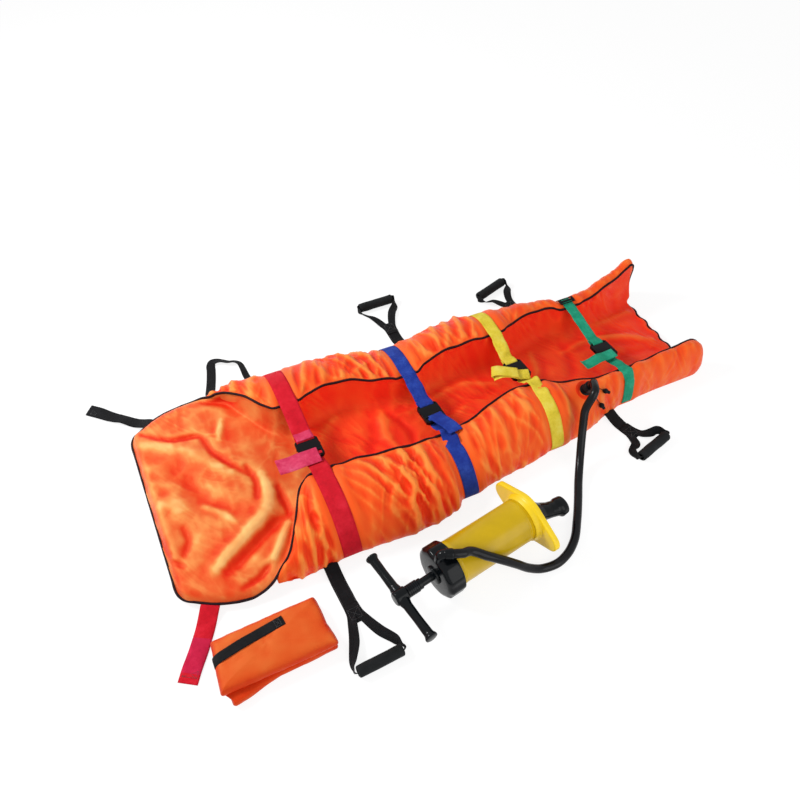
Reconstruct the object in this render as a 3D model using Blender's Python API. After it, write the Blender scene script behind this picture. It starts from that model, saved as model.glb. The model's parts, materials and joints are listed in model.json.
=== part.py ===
"""Vacuum stretcher: a bead mattress rolled up at both sides, with its straps, handles, hand pump and pouch.

Metres. +X runs from the head end to the foot end, +Y to the far side and +Z up.
The origin is on the floor, under the middle of the mattress.
"""

import bpy
import bmesh
import math
import numpy as np
from mathutils import Matrix, Vector

# Mattress
LENGTH = 1.70
GAP = 0.0004
ROLL_START = 0.245
FLOOR_START = 0.452
FLAP_THICKNESS = 0.036
FLAP_CROWN = 0.010
FLOOR_THICKNESS = 0.034
FLOOR_DISH = 0.010
EDGE_HEIGHT = 0.018
RING_PITCH = 0.034
PUCKER_PITCH = 0.102
PUCKER_DEPTH = 0.006
PIPING_RADIUS = 0.004
# Station along the mattress, outer line on the floor, inner top edge, height of that edge.
NEAR_ROLL = [
    (0.245, 0.350, 0.332, 0.034), (0.300, 0.350, 0.296, 0.078), (0.345, 0.347, 0.222, 0.108),
    (0.385, 0.344, 0.140, 0.120), (0.435, 0.341, 0.119, 0.124), (0.520, 0.343, 0.117, 0.127),
    (0.660, 0.352, 0.133, 0.126), (0.760, 0.337, 0.137, 0.116), (0.830, 0.308, 0.130, 0.100),
    (0.935, 0.292, 0.119, 0.118), (1.037, 0.281, 0.090, 0.130), (1.138, 0.266, 0.092, 0.132),
    (1.250, 0.250, 0.128, 0.125), (1.360, 0.216, 0.150, 0.117), (1.434, 0.203, 0.149, 0.112),
    (1.540, 0.196, 0.142, 0.112), (1.640, 0.196, 0.136, 0.112), (1.700, 0.196, 0.132, 0.110),
]
FAR_ROLL = [
    (0.245, 0.352, 0.334, 0.034), (0.300, 0.352, 0.300, 0.078), (0.345, 0.348, 0.228, 0.108),
    (0.385, 0.341, 0.154, 0.120), (0.435, 0.335, 0.124, 0.124), (0.520, 0.335, 0.136, 0.128),
    (0.620, 0.325, 0.145, 0.126), (0.720, 0.311, 0.114, 0.116), (0.830, 0.299, 0.098, 0.100),
    (0.935, 0.298, 0.126, 0.118), (1.037, 0.310, 0.126, 0.130), (1.138, 0.292, 0.118, 0.132),
    (1.250, 0.272, 0.154, 0.128), (1.340, 0.250, 0.168, 0.124), (1.434, 0.226, 0.144, 0.114),
    (1.540, 0.226, 0.156, 0.126), (1.640, 0.240, 0.178, 0.150), (1.700, 0.246, 0.190, 0.168),
]
# Station and half width of the flat head end, up to where the rolls start.
FLAP_STATIONS = [0.0, 0.010, 0.040, 0.075, 0.110, 0.145, 0.180, 0.215]
NEAR_FLAP = [(0.000, 0.262), (0.010, 0.284), (0.040, 0.306), (0.090, 0.335), (0.160, 0.353), (0.245, 0.351)]
FAR_FLAP = [(0.000, 0.266), (0.010, 0.290), (0.040, 0.311), (0.090, 0.337), (0.160, 0.353), (0.245, 0.353)]
# Across a roll: share of its width from the inner edge, share of the inner edge's height.
ROLL_PROFILE = [
    (0.04, 0.0), (0.0, 0.45), (0.0, 0.90), (0.06, 1.0), (0.22, 1.07), (0.42, 1.08), (0.60, 1.01),
    (0.78, 0.85), (0.91, 0.62), (0.99, 0.42), (1.03, 0.25), (1.025, 0.13), (1.0, 0.04), (0.97, 0.0),
]
CORNER = 3
BULGE = 10
# Up a pad's side: share of its rounding, share of its height.
PAD_SIDE = [(1.0, 0.0), (0.2, 0.2), (0.0, 0.5), (0.2, 0.8), (1.0, 1.0)]
NEAR_END_ROUND = [(0.014, 0.93), (0.027, 0.76), (0.035, 0.52)]
FAR_END_ROUND = [(0.010, 0.90), (0.016, 0.72)]

# Straps: colour, station, webbing width, buckle centre across the mattress, sag, tail length, tail heading
WEBBING = 0.0018
STRAPS = [
    ("red", 0.454, 0.055, -0.048, 0.016, 0.105, 180.0),
    ("blue", 0.830, 0.052, -0.058, 0.012, 0.064, 0.0),
    ("yellow", 1.138, 0.050, -0.024, 0.030, 0.085, 160.0),
    ("green", 1.434, 0.047, -0.060, 0.018, 0.110, 190.0),
]
STRAP_COLOURS = {
    "red": (0.62, 0.012, 0.035),
    "blue": (0.03, 0.06, 0.42),
    "yellow": (0.86, 0.62, 0.03),
    "green": (0.01, 0.36, 0.20),
}
BUCKLE_TILT = -6.0
BUCKLE_MARGIN = 0.006
BUCKLE_THICKNESS = 0.012
BUCKLE_BEVEL = 0.006
SOCKET_LENGTH = 0.046
PLUG_LENGTH = 0.030
BAR_LENGTH = 0.0055
SLOT_LENGTH = 0.0045
BUCKLE_WALL = 0.0028
TAB_LENGTH = 0.025
TAB_WIDTH = 0.005
TAB_BOSS = 0.0028
TAB_HEAD = 0.0045
TONGUE_WIDTH = 0.012
LADDER_LENGTH = 0.022
LADDER_MARGIN = 0.0035
LADDER_THICKNESS = 0.0032
LADDER_SLOT = 0.005

# Handles: station, side, heading from straight out, webbing run, triangle height
HANDLES = [
    (0.387, -1, 3.0, 0.158, 0.132),
    (0.905, 1, 0.0, 0.122, 0.108),
    (1.365, 1, -18.0, 0.108, 0.086),
    (1.355, -1, 16.0, 0.100, 0.070),
]
HANDLE_WIDTH = 0.040
LEG_WIDTH = 0.024
GRIP_LENGTH = 0.123
GRIP_RADIUS = 0.016
GRIP_SIDES = 16
GRIP_FIT = 0.0005
GRIP_WEB = 0.019
HANDLE_WEBBING = 0.0024
SEAM_HEIGHT = 0.020
LOOP_WIDTH = 0.030
LOOP_STATION = 0.330
LOOP_SPAN = 0.132
# Plain head straps: station, side, heading from straight out, width, length
HEAD_STRAP_RED = (0.068, -1, -32.0, 0.050, 0.195)
HEAD_STRAP_BLACK = (0.062, 1, -50.0, 0.038, 0.210)

# Pump, along its own +X from the front of the cap to the foot plate
PUMP_AT = (0.6064, -0.516)
PUMP_HEADING = 9.9
CAP_RADIUS = 0.0725
CAP_LENGTH = 0.050
CAP_WALL = 0.012
CAP_LOBES = 12
CAP_LOBE_DEPTH = 0.0028
BARREL_RADIUS = 0.0605
BARREL_WALL = 0.003
PUMP_LENGTH = 0.300
FIT = 0.0004
PISTON_GAP = 0.0008
SEAL_GAP = 0.0004
ROUND_SIDES = 36
PISTON_LENGTH = 0.020
PISTON_STOP = 0.004
SEAL_RADIUS = 0.0022
ROD_RADIUS = 0.0115
ROD_SPIGOT = 0.006
ROD_SEAT = 0.0144
COLLAR_RADIUS = 0.0165
COLLAR_LENGTH = 0.045
DRAWN_OUT = 0.034
PISTON_AT = PUMP_LENGTH - PISTON_STOP - PISTON_LENGTH - DRAWN_OUT
HANDLE_SPAN = 0.265
HANDLE_RADIUS = 0.0125
HANDLE_FLARE = 0.0165
HUB_RADIUS = 0.020
HUB_LENGTH = 0.036
BOSS_RADIUS = 0.026
BOSS_LENGTH = 0.006
PLATE_THICKNESS = 0.016
PLATE_SKIN = 0.004
PLATE_WALL = 0.004
PLATE_RIB = 0.003
HUB_PLATE_RADIUS = 0.046
WING_SPAN = 0.245
WING_RADIUS = 0.030
FOOT_COLLAR = 0.014
INLET_REACH = 0.108
INLET_BORE = 0.017
INLET_SHIFT = (-0.020, -0.022)
# Along the inlet: share of its reach, radius, share of its shift to the side and down
INLET_STAGES = [
    (0.0, 0.044, 0.0), (0.074, 0.043, 0.0), (0.185, 0.034, 0.15), (0.333, 0.027, 0.4), (0.556, 0.0235, 0.7),
    (0.741, 0.0235, 0.9), (0.833, 0.0285, 1.0), (1.0, 0.0265, 1.0),
]

# Hose, from the elbow on the cap to the fitting on the valve
HOSE_RADIUS = 0.012
ELBOW_STATION = 0.014
ELBOW_HEADING = -32.0
ELBOW_REACH = 0.034
HOSE_RISE = 0.016
HOSE_POINTS = 62
HOSE_ROUTE = [
    (0.693, -0.532, 0.152), (0.733, -0.552, 0.132), (0.772, -0.566, 0.105), (0.813, -0.577, 0.070),
    (0.850, -0.586, 0.036), (0.888, -0.592, 0.0145), (0.933, -0.595, 0.0125), (0.977, -0.580, 0.0125),
    (1.011, -0.556, 0.0125), (1.054, -0.505, 0.0125), (1.093, -0.451, 0.0125), (1.130, -0.396, 0.015),
    (1.160, -0.352, 0.030), (1.184, -0.314, 0.060), (1.202, -0.284, 0.100), (1.216, -0.262, 0.140),
]
VALVE_STATION = 1.268
VALVE_ACROSS = 0.50
PATCH_RADIUS = 0.030
PATCH_SINK = 0.003
PATCH_THICKNESS = 0.002
VALVE_FLANGE = 0.018
VALVE_NECK = 0.011
VALVE_BORE = 0.006
VALVE_HEIGHT = 0.024
FITTING_RADIUS = 0.0155
FITTING_HEIGHT = 0.036
SLEEVE_LENGTH = 0.010
TETHER_RADIUS = 0.0013
TETHER_RING = 0.002
TETHER_LIFT = 0.004
STOPPER_RADIUS = 0.008
STOPPER_LENGTH = 0.018
STOPPER_CLEAR = 0.0025
# The two tethers' routes from the valve: along the roll and down its outer side
VALVE_TETHER = [(0.042, 0.006), (0.058, 0.022)]
RELEASE_TETHER = [(0.026, 0.040), (0.036, 0.064)]

# Pouch, corners of its outline on the floor
POUCH_CORNERS = [(0.040, -0.432), (0.314, -0.424), (0.326, -0.568), (0.036, -0.574)]
POUCH_HEIGHT = 0.054
POUCH_CORNER_RADIUS = 0.016
POUCH_STRAP_WIDTH = 0.026
POUCH_STRAP_END = (0.222, -0.462)
POUCH_STRAP_FOOT = 0.60
# Share of the pouch's height and how far its side is drawn in there; the strap bridges the fold.
POUCH_PROFILE = [(0.0, 0.010), (0.10, 0.003), (0.24, 0.0), (0.38, 0.002), (0.46, 0.007), (0.54, 0.003),
                 (0.72, 0.001), (0.88, 0.004), (1.0, 0.014)]
POUCH_FOLD = (3, 4, 5)

ORANGE = (0.86, 0.13, 0.012)
FLOOR_ORANGE = (0.78, 0.07, 0.01)
PIPING_COLOUR = (0.05, 0.008, 0.01)
BLACK = (0.012, 0.012, 0.014)
PUMP_YELLOW = (0.72, 0.50, 0.02)
PATCH_COLOUR = (0.55, 0.04, 0.02)


def clear_scene():
    for obj in list(bpy.data.objects):
        bpy.data.objects.remove(obj, do_unlink=True)


def material(name, colour, roughness):
    made = bpy.data.materials.new(name)
    made.use_nodes = True
    shader = made.node_tree.nodes["Principled BSDF"]
    shader.inputs["Base Color"].default_value = (*colour, 1.0)
    shader.inputs["Roughness"].default_value = roughness
    shader.inputs["Metallic"].default_value = 0.0
    return made


def finish(obj, colour, roughness, parent=None):
    obj.data.materials.append(material(obj.name, colour, roughness))
    if parent:
        obj.parent = parent
    if obj.type == "MESH":
        obj.data.shade_smooth()
        obj.data.set_sharp_from_angle(angle=math.radians(38))
    return obj


def link(name, data):
    obj = bpy.data.objects.new(name, data)
    bpy.context.scene.collection.objects.link(obj)
    return obj


def empty(name, location, rotation=(0.0, 0.0, 0.0)):
    obj = link(name, None)
    obj.location = location
    obj.rotation_euler = rotation
    return obj


def mesh_from(shape, name):
    bmesh.ops.recalc_face_normals(shape, faces=shape.faces)
    mesh = bpy.data.meshes.new(name)
    shape.to_mesh(mesh)
    shape.free()
    return mesh


def loft(name, rings):
    """A closed solid through rings that all have the same number of points."""
    shape = bmesh.new()
    made = [[shape.verts.new(point) for point in ring] for ring in rings]
    count = len(rings[0])
    for first, second in zip(made, made[1:]):
        for i in range(count):
            j = (i + 1) % count
            shape.faces.new((first[i], first[j], second[j], second[i]))
    shape.faces.new(made[0])
    shape.faces.new(made[-1])
    return link(name, mesh_from(shape, name))


def turned(name, profile, segments, closed=False):
    """A profile of (height, radius) turned about Z. A closed profile leaves a bore."""
    shape = bmesh.new()
    rings = []
    for height, radius in profile:
        if radius == 0.0:
            rings.append([shape.verts.new((0.0, 0.0, height))] * segments)
            continue
        turns = [2 * math.pi * i / segments for i in range(segments)]
        rings.append([shape.verts.new((radius * math.cos(a), radius * math.sin(a), height)) for a in turns])
    pairs = list(zip(rings, rings[1:]))
    if closed:
        pairs.append((rings[-1], rings[0]))
    for first, second in pairs:
        for i in range(segments):
            j = (i + 1) % segments
            corners = list(dict.fromkeys((first[i], first[j], second[j], second[i])))
            shape.faces.new(corners)
    return link(name, mesh_from(shape, name))


def turned_on_x(name, profile, segments, closed=False):
    obj = turned(name, profile, segments, closed)
    obj.data.transform(Matrix.Rotation(math.radians(90), 4, "Y"))
    return obj


def disc_on_x(name, low, high, radius, sides):
    """A plain round solid about X, from low to high."""
    return turned_on_x(name, [(low, 0.0), (low, radius), (high, radius), (high, 0.0)], sides)


def slab(name, outline, low, high):
    """An outline in X and Y, filled from low to high."""
    return loft(name, [[(x, y, z) for x, y in outline] for z in (low, high)])


def box(name, low, high):
    (x0, y0, z0), (x1, y1, z1) = low, high
    return slab(name, [(x0, y0), (x1, y0), (x1, y1), (x0, y1)], z0, z1)


def ribbon_rings(points, sides, width, thickness):
    """Rings of a flat band along a path, with mitred turns. thickness may be one value for each point."""
    thicknesses = thickness if isinstance(thickness, list) else [thickness] * len(points)
    points = [Vector(point) for point in points]
    rings = []
    for i, point in enumerate(points):
        before = (point - points[i - 1]).normalized() if i else None
        after = (points[i + 1] - point).normalized() if i + 1 < len(points) else None
        side = Vector(sides[i] if isinstance(sides, list) else sides).normalized()
        along = ((before or after) + (after or before)).normalized()
        normal = along.cross(side).normalized()
        spread = 1.0 / max(0.5, along.dot(after)) if before and after else 1.0
        half = side * width / 2
        up = normal * thicknesses[i] / 2 * spread
        rings.append([point - half - up, point + half - up, point + half + up, point - half + up])
    return rings


def ribbon(name, points, sides, width, thickness):
    return loft(name, ribbon_rings(points, sides, width, thickness))


def band_sheet(name, corners, faces, thickness, thin=()):
    """A flat sheet of quads at its corners' heights. Corners named in thin close to a round end."""
    shape = bmesh.new()
    layers = []
    for sign in (-1, 1):
        layer = []
        for i, (x, y, z) in enumerate(corners):
            half = thickness / 2 * (0.25 if i in thin else 1.0)
            layer.append(shape.verts.new((x, y, z + sign * half)))
        layers.append(layer)
    edges = {}
    for face in faces:
        shape.faces.new([layers[1][i] for i in face])
        shape.faces.new([layers[0][i] for i in reversed(face)])
        for a, b in zip(face, face[1:] + face[:1]):
            edges[(a, b)] = (b, a) not in edges and edges.get((a, b), True)
            if (b, a) in edges:
                edges[(b, a)] = edges[(a, b)] = False
    for (a, b), border in edges.items():
        if border:
            shape.faces.new([layers[0][a], layers[0][b], layers[1][b], layers[1][a]])
    return link(name, mesh_from(shape, name))


def tube(name, points, radius, resolution, cyclic=False):
    curve = bpy.data.curves.new(name, "CURVE")
    curve.dimensions = "3D"
    curve.bevel_depth = radius
    curve.bevel_resolution = resolution
    curve.use_fill_caps = not cyclic
    spline = curve.splines.new("POLY")
    spline.points.add(len(points) - 1)
    for item, point in zip(spline.points, points):
        item.co = (*point, 1.0)
    spline.use_cyclic_u = cyclic
    return link(name, curve)


def tube_mesh(name, points, radius, resolution, cyclic=False):
    curve = tube(name, points, radius, resolution, cyclic)
    mesh = bpy.data.meshes.new_from_object(curve)
    bpy.data.objects.remove(curve, do_unlink=True)
    shape = bmesh.new()
    shape.from_mesh(mesh)
    bmesh.ops.remove_doubles(shape, verts=shape.verts, dist=0.00001)
    return link(name, mesh_from(shape, name))


def combine(obj, other, operation):
    """Adds or removes other. It stays in the file as a hidden guide."""
    other.hide_render = True
    other.display_type = "WIRE"
    change = obj.modifiers.new(other.name, "BOOLEAN")
    change.object = other
    change.operation = operation
    change.solver = "EXACT"
    return obj


def smooth_through(knots, values, at):
    """A smooth curve through the knots, read at the places in at."""
    knots, values, at = np.asarray(knots, float), np.asarray(values, float), np.asarray(at, float)
    slopes = np.gradient(values, knots, axis=0)
    i = np.clip(np.searchsorted(knots, at, side="right") - 1, 0, len(knots) - 2)
    step = knots[i + 1] - knots[i]
    t = np.clip((at - knots[i]) / step, 0.0, 1.0)
    if values.ndim == 2:
        t, step = t[:, None], step[:, None]
    start = (1 + 2 * t) * (1 - t) ** 2 * values[i] + t * (1 - t) ** 2 * step * slopes[i]
    return start + t**2 * (3 - 2 * t) * values[i + 1] + t**2 * (t - 1) * step * slopes[i + 1]


def place_x(station):
    return station - LENGTH / 2


def ring_stations():
    """Where the rolls, the floor and the flap behind the roll fronts all have a ring."""
    stations = [ROLL_START, FLOOR_START - GAP / 2, FLOOR_START + GAP / 2, LENGTH]
    held = [(at - width / 2 - 0.004, at + width / 2 + 0.004) for _, at, width, *_ in STRAPS]
    for low, high in held:
        stations += [low, high]
    count = round((LENGTH - ROLL_START) / RING_PITCH)
    for i in range(1, count):
        at = ROLL_START + (LENGTH - ROLL_START) * i / count
        if all(abs(at - other) > RING_PITCH / 3 for other in stations):
            stations.append(at)
    return sorted(stations)


def strap_hold(station):
    """The strap's station if this one lies under a strap, and how freely the roll puckers here."""
    for _, at, width, *_ in STRAPS:
        if abs(station - at) <= width / 2 + 0.005:
            return at, 0.0
    return station, 1.0


def roll_sizes(table, station):
    held, free = strap_hold(station)
    share = held * table[-1][0] / LENGTH
    outer, inner, height = smooth_through([row[0] for row in table], [row[1:] for row in table], [share])[0]
    if station > ROLL_START + RING_PITCH:
        height -= free * PUCKER_DEPTH * (0.5 + 0.5 * math.cos(2 * math.pi * station / PUCKER_PITCH))
    return outer, inner, height


def roll_profile(table, station, scale=1.0):
    """Outward distance and height of each point across the roll, from its inner foot over the top."""
    outer, inner, height = roll_sizes(table, station)
    middle_u, middle_v = 0.5, 0.45
    points = []
    for u, v in ROLL_PROFILE:
        u = middle_u + (u - middle_u) * scale
        v = middle_v + (v - middle_v) * scale
        points.append((inner + u * (outer - inner), v * height))
    return points


def make_roll(name, table, side, end_round):
    rings = []
    for station in ring_stations():
        rings.append([(place_x(station), side * a, z) for a, z in roll_profile(table, station)])
    for past, scale in end_round:
        ring = roll_profile(table, LENGTH, scale)
        rings.append([(place_x(LENGTH + past), side * a, z) for a, z in ring])
    return finish(loft(name, rings), ORANGE, 0.45)


def inner_limits(table):
    """How far the floor and flap may reach at each ring, square to the roll's inner edge."""
    stations = ring_stations()
    inner = np.array([roll_sizes(table, station)[1] for station in stations])
    slopes = np.abs(np.diff(inner) / np.diff(stations))
    steepest = np.maximum(np.append(slopes, 0.0), np.insert(slopes, 0, 0.0))
    return dict(zip(stations, inner - GAP * np.sqrt(1 + steepest**2)))


def pad_ring(station, near, far, side_height, middle_height, rounding):
    """A ring of a pad: flat below, with rounded sides and a top that rises or dips to the middle."""
    x = place_x(station)
    left = [(rounding * drawn - near, side_height * rise) for drawn, rise in PAD_SIDE]
    right = [(far - rounding * drawn, side_height * rise) for drawn, rise in reversed(PAD_SIDE)]
    top = []
    for share in (-0.72, -0.42, -0.14, 0.14, 0.42, 0.72):
        y = share * (near if share < 0 else far)
        top.append((y, side_height + (middle_height - side_height) * (1 - share**2)))
    return [(x, y, z) for y, z in left + top + right]


def flap_width(table, station):
    knots = [row[0] for row in table]
    return float(smooth_through(knots, [row[1] for row in table], [station])[0])


def make_head_flap():
    near_limits, far_limits = inner_limits(NEAR_ROLL), inner_limits(FAR_ROLL)
    rings = []
    for station in [*FLAP_STATIONS, ROLL_START - GAP]:
        near, far = flap_width(NEAR_FLAP, station), flap_width(FAR_FLAP, station)
        top = FLAP_THICKNESS + FLAP_CROWN
        side_height = FLAP_THICKNESS
        if station == 0.0:
            top, side_height = FLAP_THICKNESS * 0.8, FLAP_THICKNESS * 0.75
        rings.append(pad_ring(station, near, far, side_height, top, 0.012))
    for station in ring_stations():
        if station < FLOOR_START:
            at = station if station > ROLL_START else ROLL_START - GAP * 0.75
            top = FLAP_THICKNESS + FLAP_CROWN * (FLOOR_START - station) / (FLOOR_START - ROLL_START)
            rings.append(pad_ring(at, near_limits[station], far_limits[station], FLAP_THICKNESS, top, 0.004))
    return finish(loft("head_flap", rings), ORANGE, 0.4)


def make_floor():
    near_limits, far_limits = inner_limits(NEAR_ROLL), inner_limits(FAR_ROLL)
    rings = []
    for station in ring_stations():
        if station > FLOOR_START:
            near, far = near_limits[station], far_limits[station]
            rings.append(pad_ring(station, near, far, FLOOR_THICKNESS, FLOOR_THICKNESS - FLOOR_DISH, 0.004))
    return finish(loft("mattress_floor", rings), FLOOR_ORANGE, 0.5)


def corner_point(table, side, station, scale=1.0, past=0.0):
    across, height = roll_profile(table, station, scale)[CORNER]
    return (place_x(station + past), side * across, height)


def edge_points(flap_table, roll_table, side, end_round):
    """The welt's centre line down one side, from the middle of the head end to the middle of the foot end."""
    front = flap_width(flap_table, 0.0)
    points = [(place_x(0.0), side * front * share, EDGE_HEIGHT) for share in (0.3, 0.6, 0.9)]
    points.append((place_x(0.004), side * (front + 0.010), EDGE_HEIGHT))
    for station in FLAP_STATIONS[2:-1]:
        points.append((place_x(station), side * flap_width(flap_table, station), EDGE_HEIGHT))
    for back, inward, rise in ((0.035, 0.001, 0.006), (0.013, 0.006, 0.016)):
        across = flap_width(flap_table, ROLL_START - back) - inward
        points.append((place_x(ROLL_START - back), side * across, EDGE_HEIGHT + rise))
    stations = ring_stations()
    points += [corner_point(roll_table, side, station) for station in stations if station > ROLL_START + 0.01]
    points += [corner_point(roll_table, side, LENGTH, scale, past) for past, scale in end_round[:2]]
    _, inner, height = roll_sizes(roll_table, LENGTH)
    foot = place_x(LENGTH)
    points.append((foot + end_round[-1][0], side * (inner + 0.012), height * 0.48))
    points.append((foot + 0.014, side * (inner + 0.004), height * 0.26))
    points.append((foot + 0.002, side * (inner - 0.016), EDGE_HEIGHT))
    points.append((foot, side * inner * 0.45, EDGE_HEIGHT))
    return points


def welt_line():
    near = edge_points(NEAR_FLAP, NEAR_ROLL, -1, NEAR_END_ROUND)
    far = edge_points(FAR_FLAP, FAR_ROLL, 1, FAR_END_ROUND)
    return near + far[::-1]


def make_mattress():
    near = make_roll("side_roll_near", NEAR_ROLL, -1, NEAR_END_ROUND)
    far = make_roll("side_roll_far", FAR_ROLL, 1, FAR_END_ROUND)
    pads = [near, far, make_head_flap(), make_floor()]
    line = welt_line()
    finish(tube_mesh("edge_piping", line, PIPING_RADIUS, 1, cyclic=True), PIPING_COLOUR, 0.5)
    groove = tube_mesh("piping_groove", line, PIPING_RADIUS + GAP, 1, cyclic=True)
    for pad in pads:
        combine(pad, groove, "DIFFERENCE")
    return near, far


def outside(points, distance):
    """An open line moved square to itself, to the side that faces out of the roll."""
    moved = []
    for i, point in enumerate(points):
        here = Vector(point)
        before = (here - Vector(points[i - 1])).normalized() if i else None
        after = (Vector(points[i + 1]) - here).normalized() if i + 1 < len(points) else None
        along = ((before or after) + (after or before)).normalized()
        spread = 1.0 / along.dot(after) if before and after else 1.0
        moved.append(here + Vector((-along.y, along.x)) * distance * spread)
    return moved


def over_roll(table, station, lift):
    """Outward distance and height of a band over the roll, from its outer foot to above the welt."""
    profile = roll_profile(table, station)
    line = outside(profile[CORNER + 1 : -1], GAP + lift)
    across, height = profile[CORNER]
    top = height + PIPING_RADIUS + 2 * GAP + lift
    return [tuple(point) for point in reversed(line)] + [(across + 0.002, top), (across - 0.008, top - 0.001)]


def buckle_place(strap):
    """The buckle's centre and tilt, from the two welts that its strap hangs between."""
    _, station, _, across, sag, _, _ = strap
    far = over_roll(FAR_ROLL, station, WEBBING / 2)[-1]
    near = over_roll(NEAR_ROLL, station, WEBBING / 2)[-1]
    slope = (far[1] - near[1]) / (far[0] + near[0])
    height = near[1] + (across + near[0]) * slope - sag
    return Vector((place_x(station), across, height)), math.atan(slope) + math.radians(BUCKLE_TILT)


def in_buckle(place, tilt, along, up, x=0.0):
    """A point from the buckle's own length and height to the mattress frame."""
    turn = Matrix.Rotation(tilt, 3, "X")
    return place + turn @ Vector((x, along, up))


def slot_box(name, width, low, high):
    """A cutter for the slot that a webbing of this width passes through."""
    half = width / 2 + 0.001
    return box(name, (-half, low, -BUCKLE_THICKNESS), (half, high, BUCKLE_THICKNESS))


def buckle_outline(half, start, end):
    """A buckle half seen from above, square where the halves meet and bevelled at its webbing end."""
    bevel = math.copysign(BUCKLE_BEVEL, end - start)
    corners = [(half, start), (half, end - bevel), (half - BUCKLE_BEVEL, end)]
    return corners + [(-x, y) for x, y in reversed(corners)]


def make_socket(colour, width, holder):
    half = width / 2 + BUCKLE_MARGIN
    thick = BUCKLE_THICKNESS / 2
    name = f"buckle_{colour}_socket"
    socket = slab(name, buckle_outline(half, 0.0, SOCKET_LENGTH), -thick, thick)
    depth = TAB_LENGTH + 0.006
    hollow = thick - BUCKLE_WALL
    slot_end = SOCKET_LENGTH - BAR_LENGTH
    cuts = [
        box(f"{name}_hollow", (-half + BUCKLE_WALL, -0.01, -hollow), (half - BUCKLE_WALL, depth, hollow)),
        box(f"{name}_windows", (-half - 0.01, depth * 0.35, -hollow), (half + 0.01, depth * 0.85, hollow)),
        slot_box(f"{name}_slot", width, slot_end - SLOT_LENGTH, slot_end),
    ]
    for cut in cuts:
        cut.parent = holder
        combine(socket, cut, "DIFFERENCE")
    return finish(socket, BLACK, 0.35, holder)


def make_plug(colour, width, holder):
    half = width / 2 + BUCKLE_MARGIN
    thick = BUCKLE_THICKNESS / 2
    name = f"buckle_{colour}_plug"
    plug = slab(name, buckle_outline(half, -GAP, -PLUG_LENGTH), -thick, thick)
    root, tip, reach = TONGUE_WIDTH / 2, TONGUE_WIDTH * 0.4, TAB_LENGTH + 0.003
    tongue_half = thick - BUCKLE_WALL - 0.0008
    sides = [(root, -0.004), (tip, reach)]
    outline = sides + [(-x, y) for x, y in reversed(sides)]
    tongue = slab(f"{name}_tongue", outline, -tongue_half, tongue_half)
    tongue.parent = holder
    combine(plug, tongue, "UNION")
    middle = -PLUG_LENGTH * 0.4
    slot = slot_box(f"{name}_slot", width, middle - SLOT_LENGTH / 2, middle + SLOT_LENGTH / 2)
    slot.parent = holder
    combine(plug, slot, "DIFFERENCE")
    return finish(plug, BLACK, 0.35, holder)


def make_tab(colour, width, end, holder):
    """A side arm: a round boss at the plug, a straight arm and a thumb head in the socket's window."""
    side = -1 if end == "head" else 1
    window = width / 2 + BUCKLE_MARGIN
    root = window - BUCKLE_WALL - TAB_BOSS - 0.003
    thick = BUCKLE_THICKNESS / 2 - BUCKLE_WALL - 0.0006
    inner, outer = root - TAB_WIDTH / 2, root + TAB_WIDTH / 2
    boss = [(root + TAB_BOSS * math.cos(a), TAB_BOSS + TAB_BOSS * math.sin(a))
            for a in np.linspace(math.pi * 1.12, math.pi * 1.88, 6)]
    start, stop = TAB_LENGTH * 0.52, TAB_LENGTH * 0.92
    head = [(outer + 0.0005, start), (window + TAB_HEAD - 0.002, start + 0.004), (window + 0.001, stop)]
    arm = [(outer, TAB_LENGTH), (inner, TAB_LENGTH), (inner, TAB_BOSS * 2)]
    outline = [*boss, (outer, TAB_BOSS * 2), *head, *arm]
    pivot = empty(f"tab_axis_{colour}_{end}", (side * root, TAB_BOSS, 0.0))
    pivot.parent = holder
    placed = [(side * (x - root), y - TAB_BOSS) for x, y in outline]
    tab = slab(f"buckle_{colour}_tab_{end}", placed, -thick, thick)
    return finish(tab, BLACK, 0.35, pivot)


def far_strap(strap, place, tilt):
    colour, station, width, *_ = strap
    x = place_x(station)
    points = [Vector((x, a, z)) for a, z in over_roll(FAR_ROLL, station, WEBBING / 2)]
    top = BUCKLE_THICKNESS / 2 + GAP + WEBBING / 2
    end = SOCKET_LENGTH
    slot = end - BAR_LENGTH - SLOT_LENGTH / 2
    over = [(end + 0.026, 0.0015), (end + 0.010, 0.0055), (end, top), (slot, top)]
    under = [(slot, -top), (end, -top), (end + 0.010, -0.0045), (end + 0.022, -0.0030)]
    points += [in_buckle(place, tilt, along, up) for along, up in over + under]
    name = f"strap_{colour}_far"
    return finish(ribbon(name, points, (1.0, 0.0, 0.0), width, WEBBING), STRAP_COLOURS[colour], 0.6)


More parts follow.
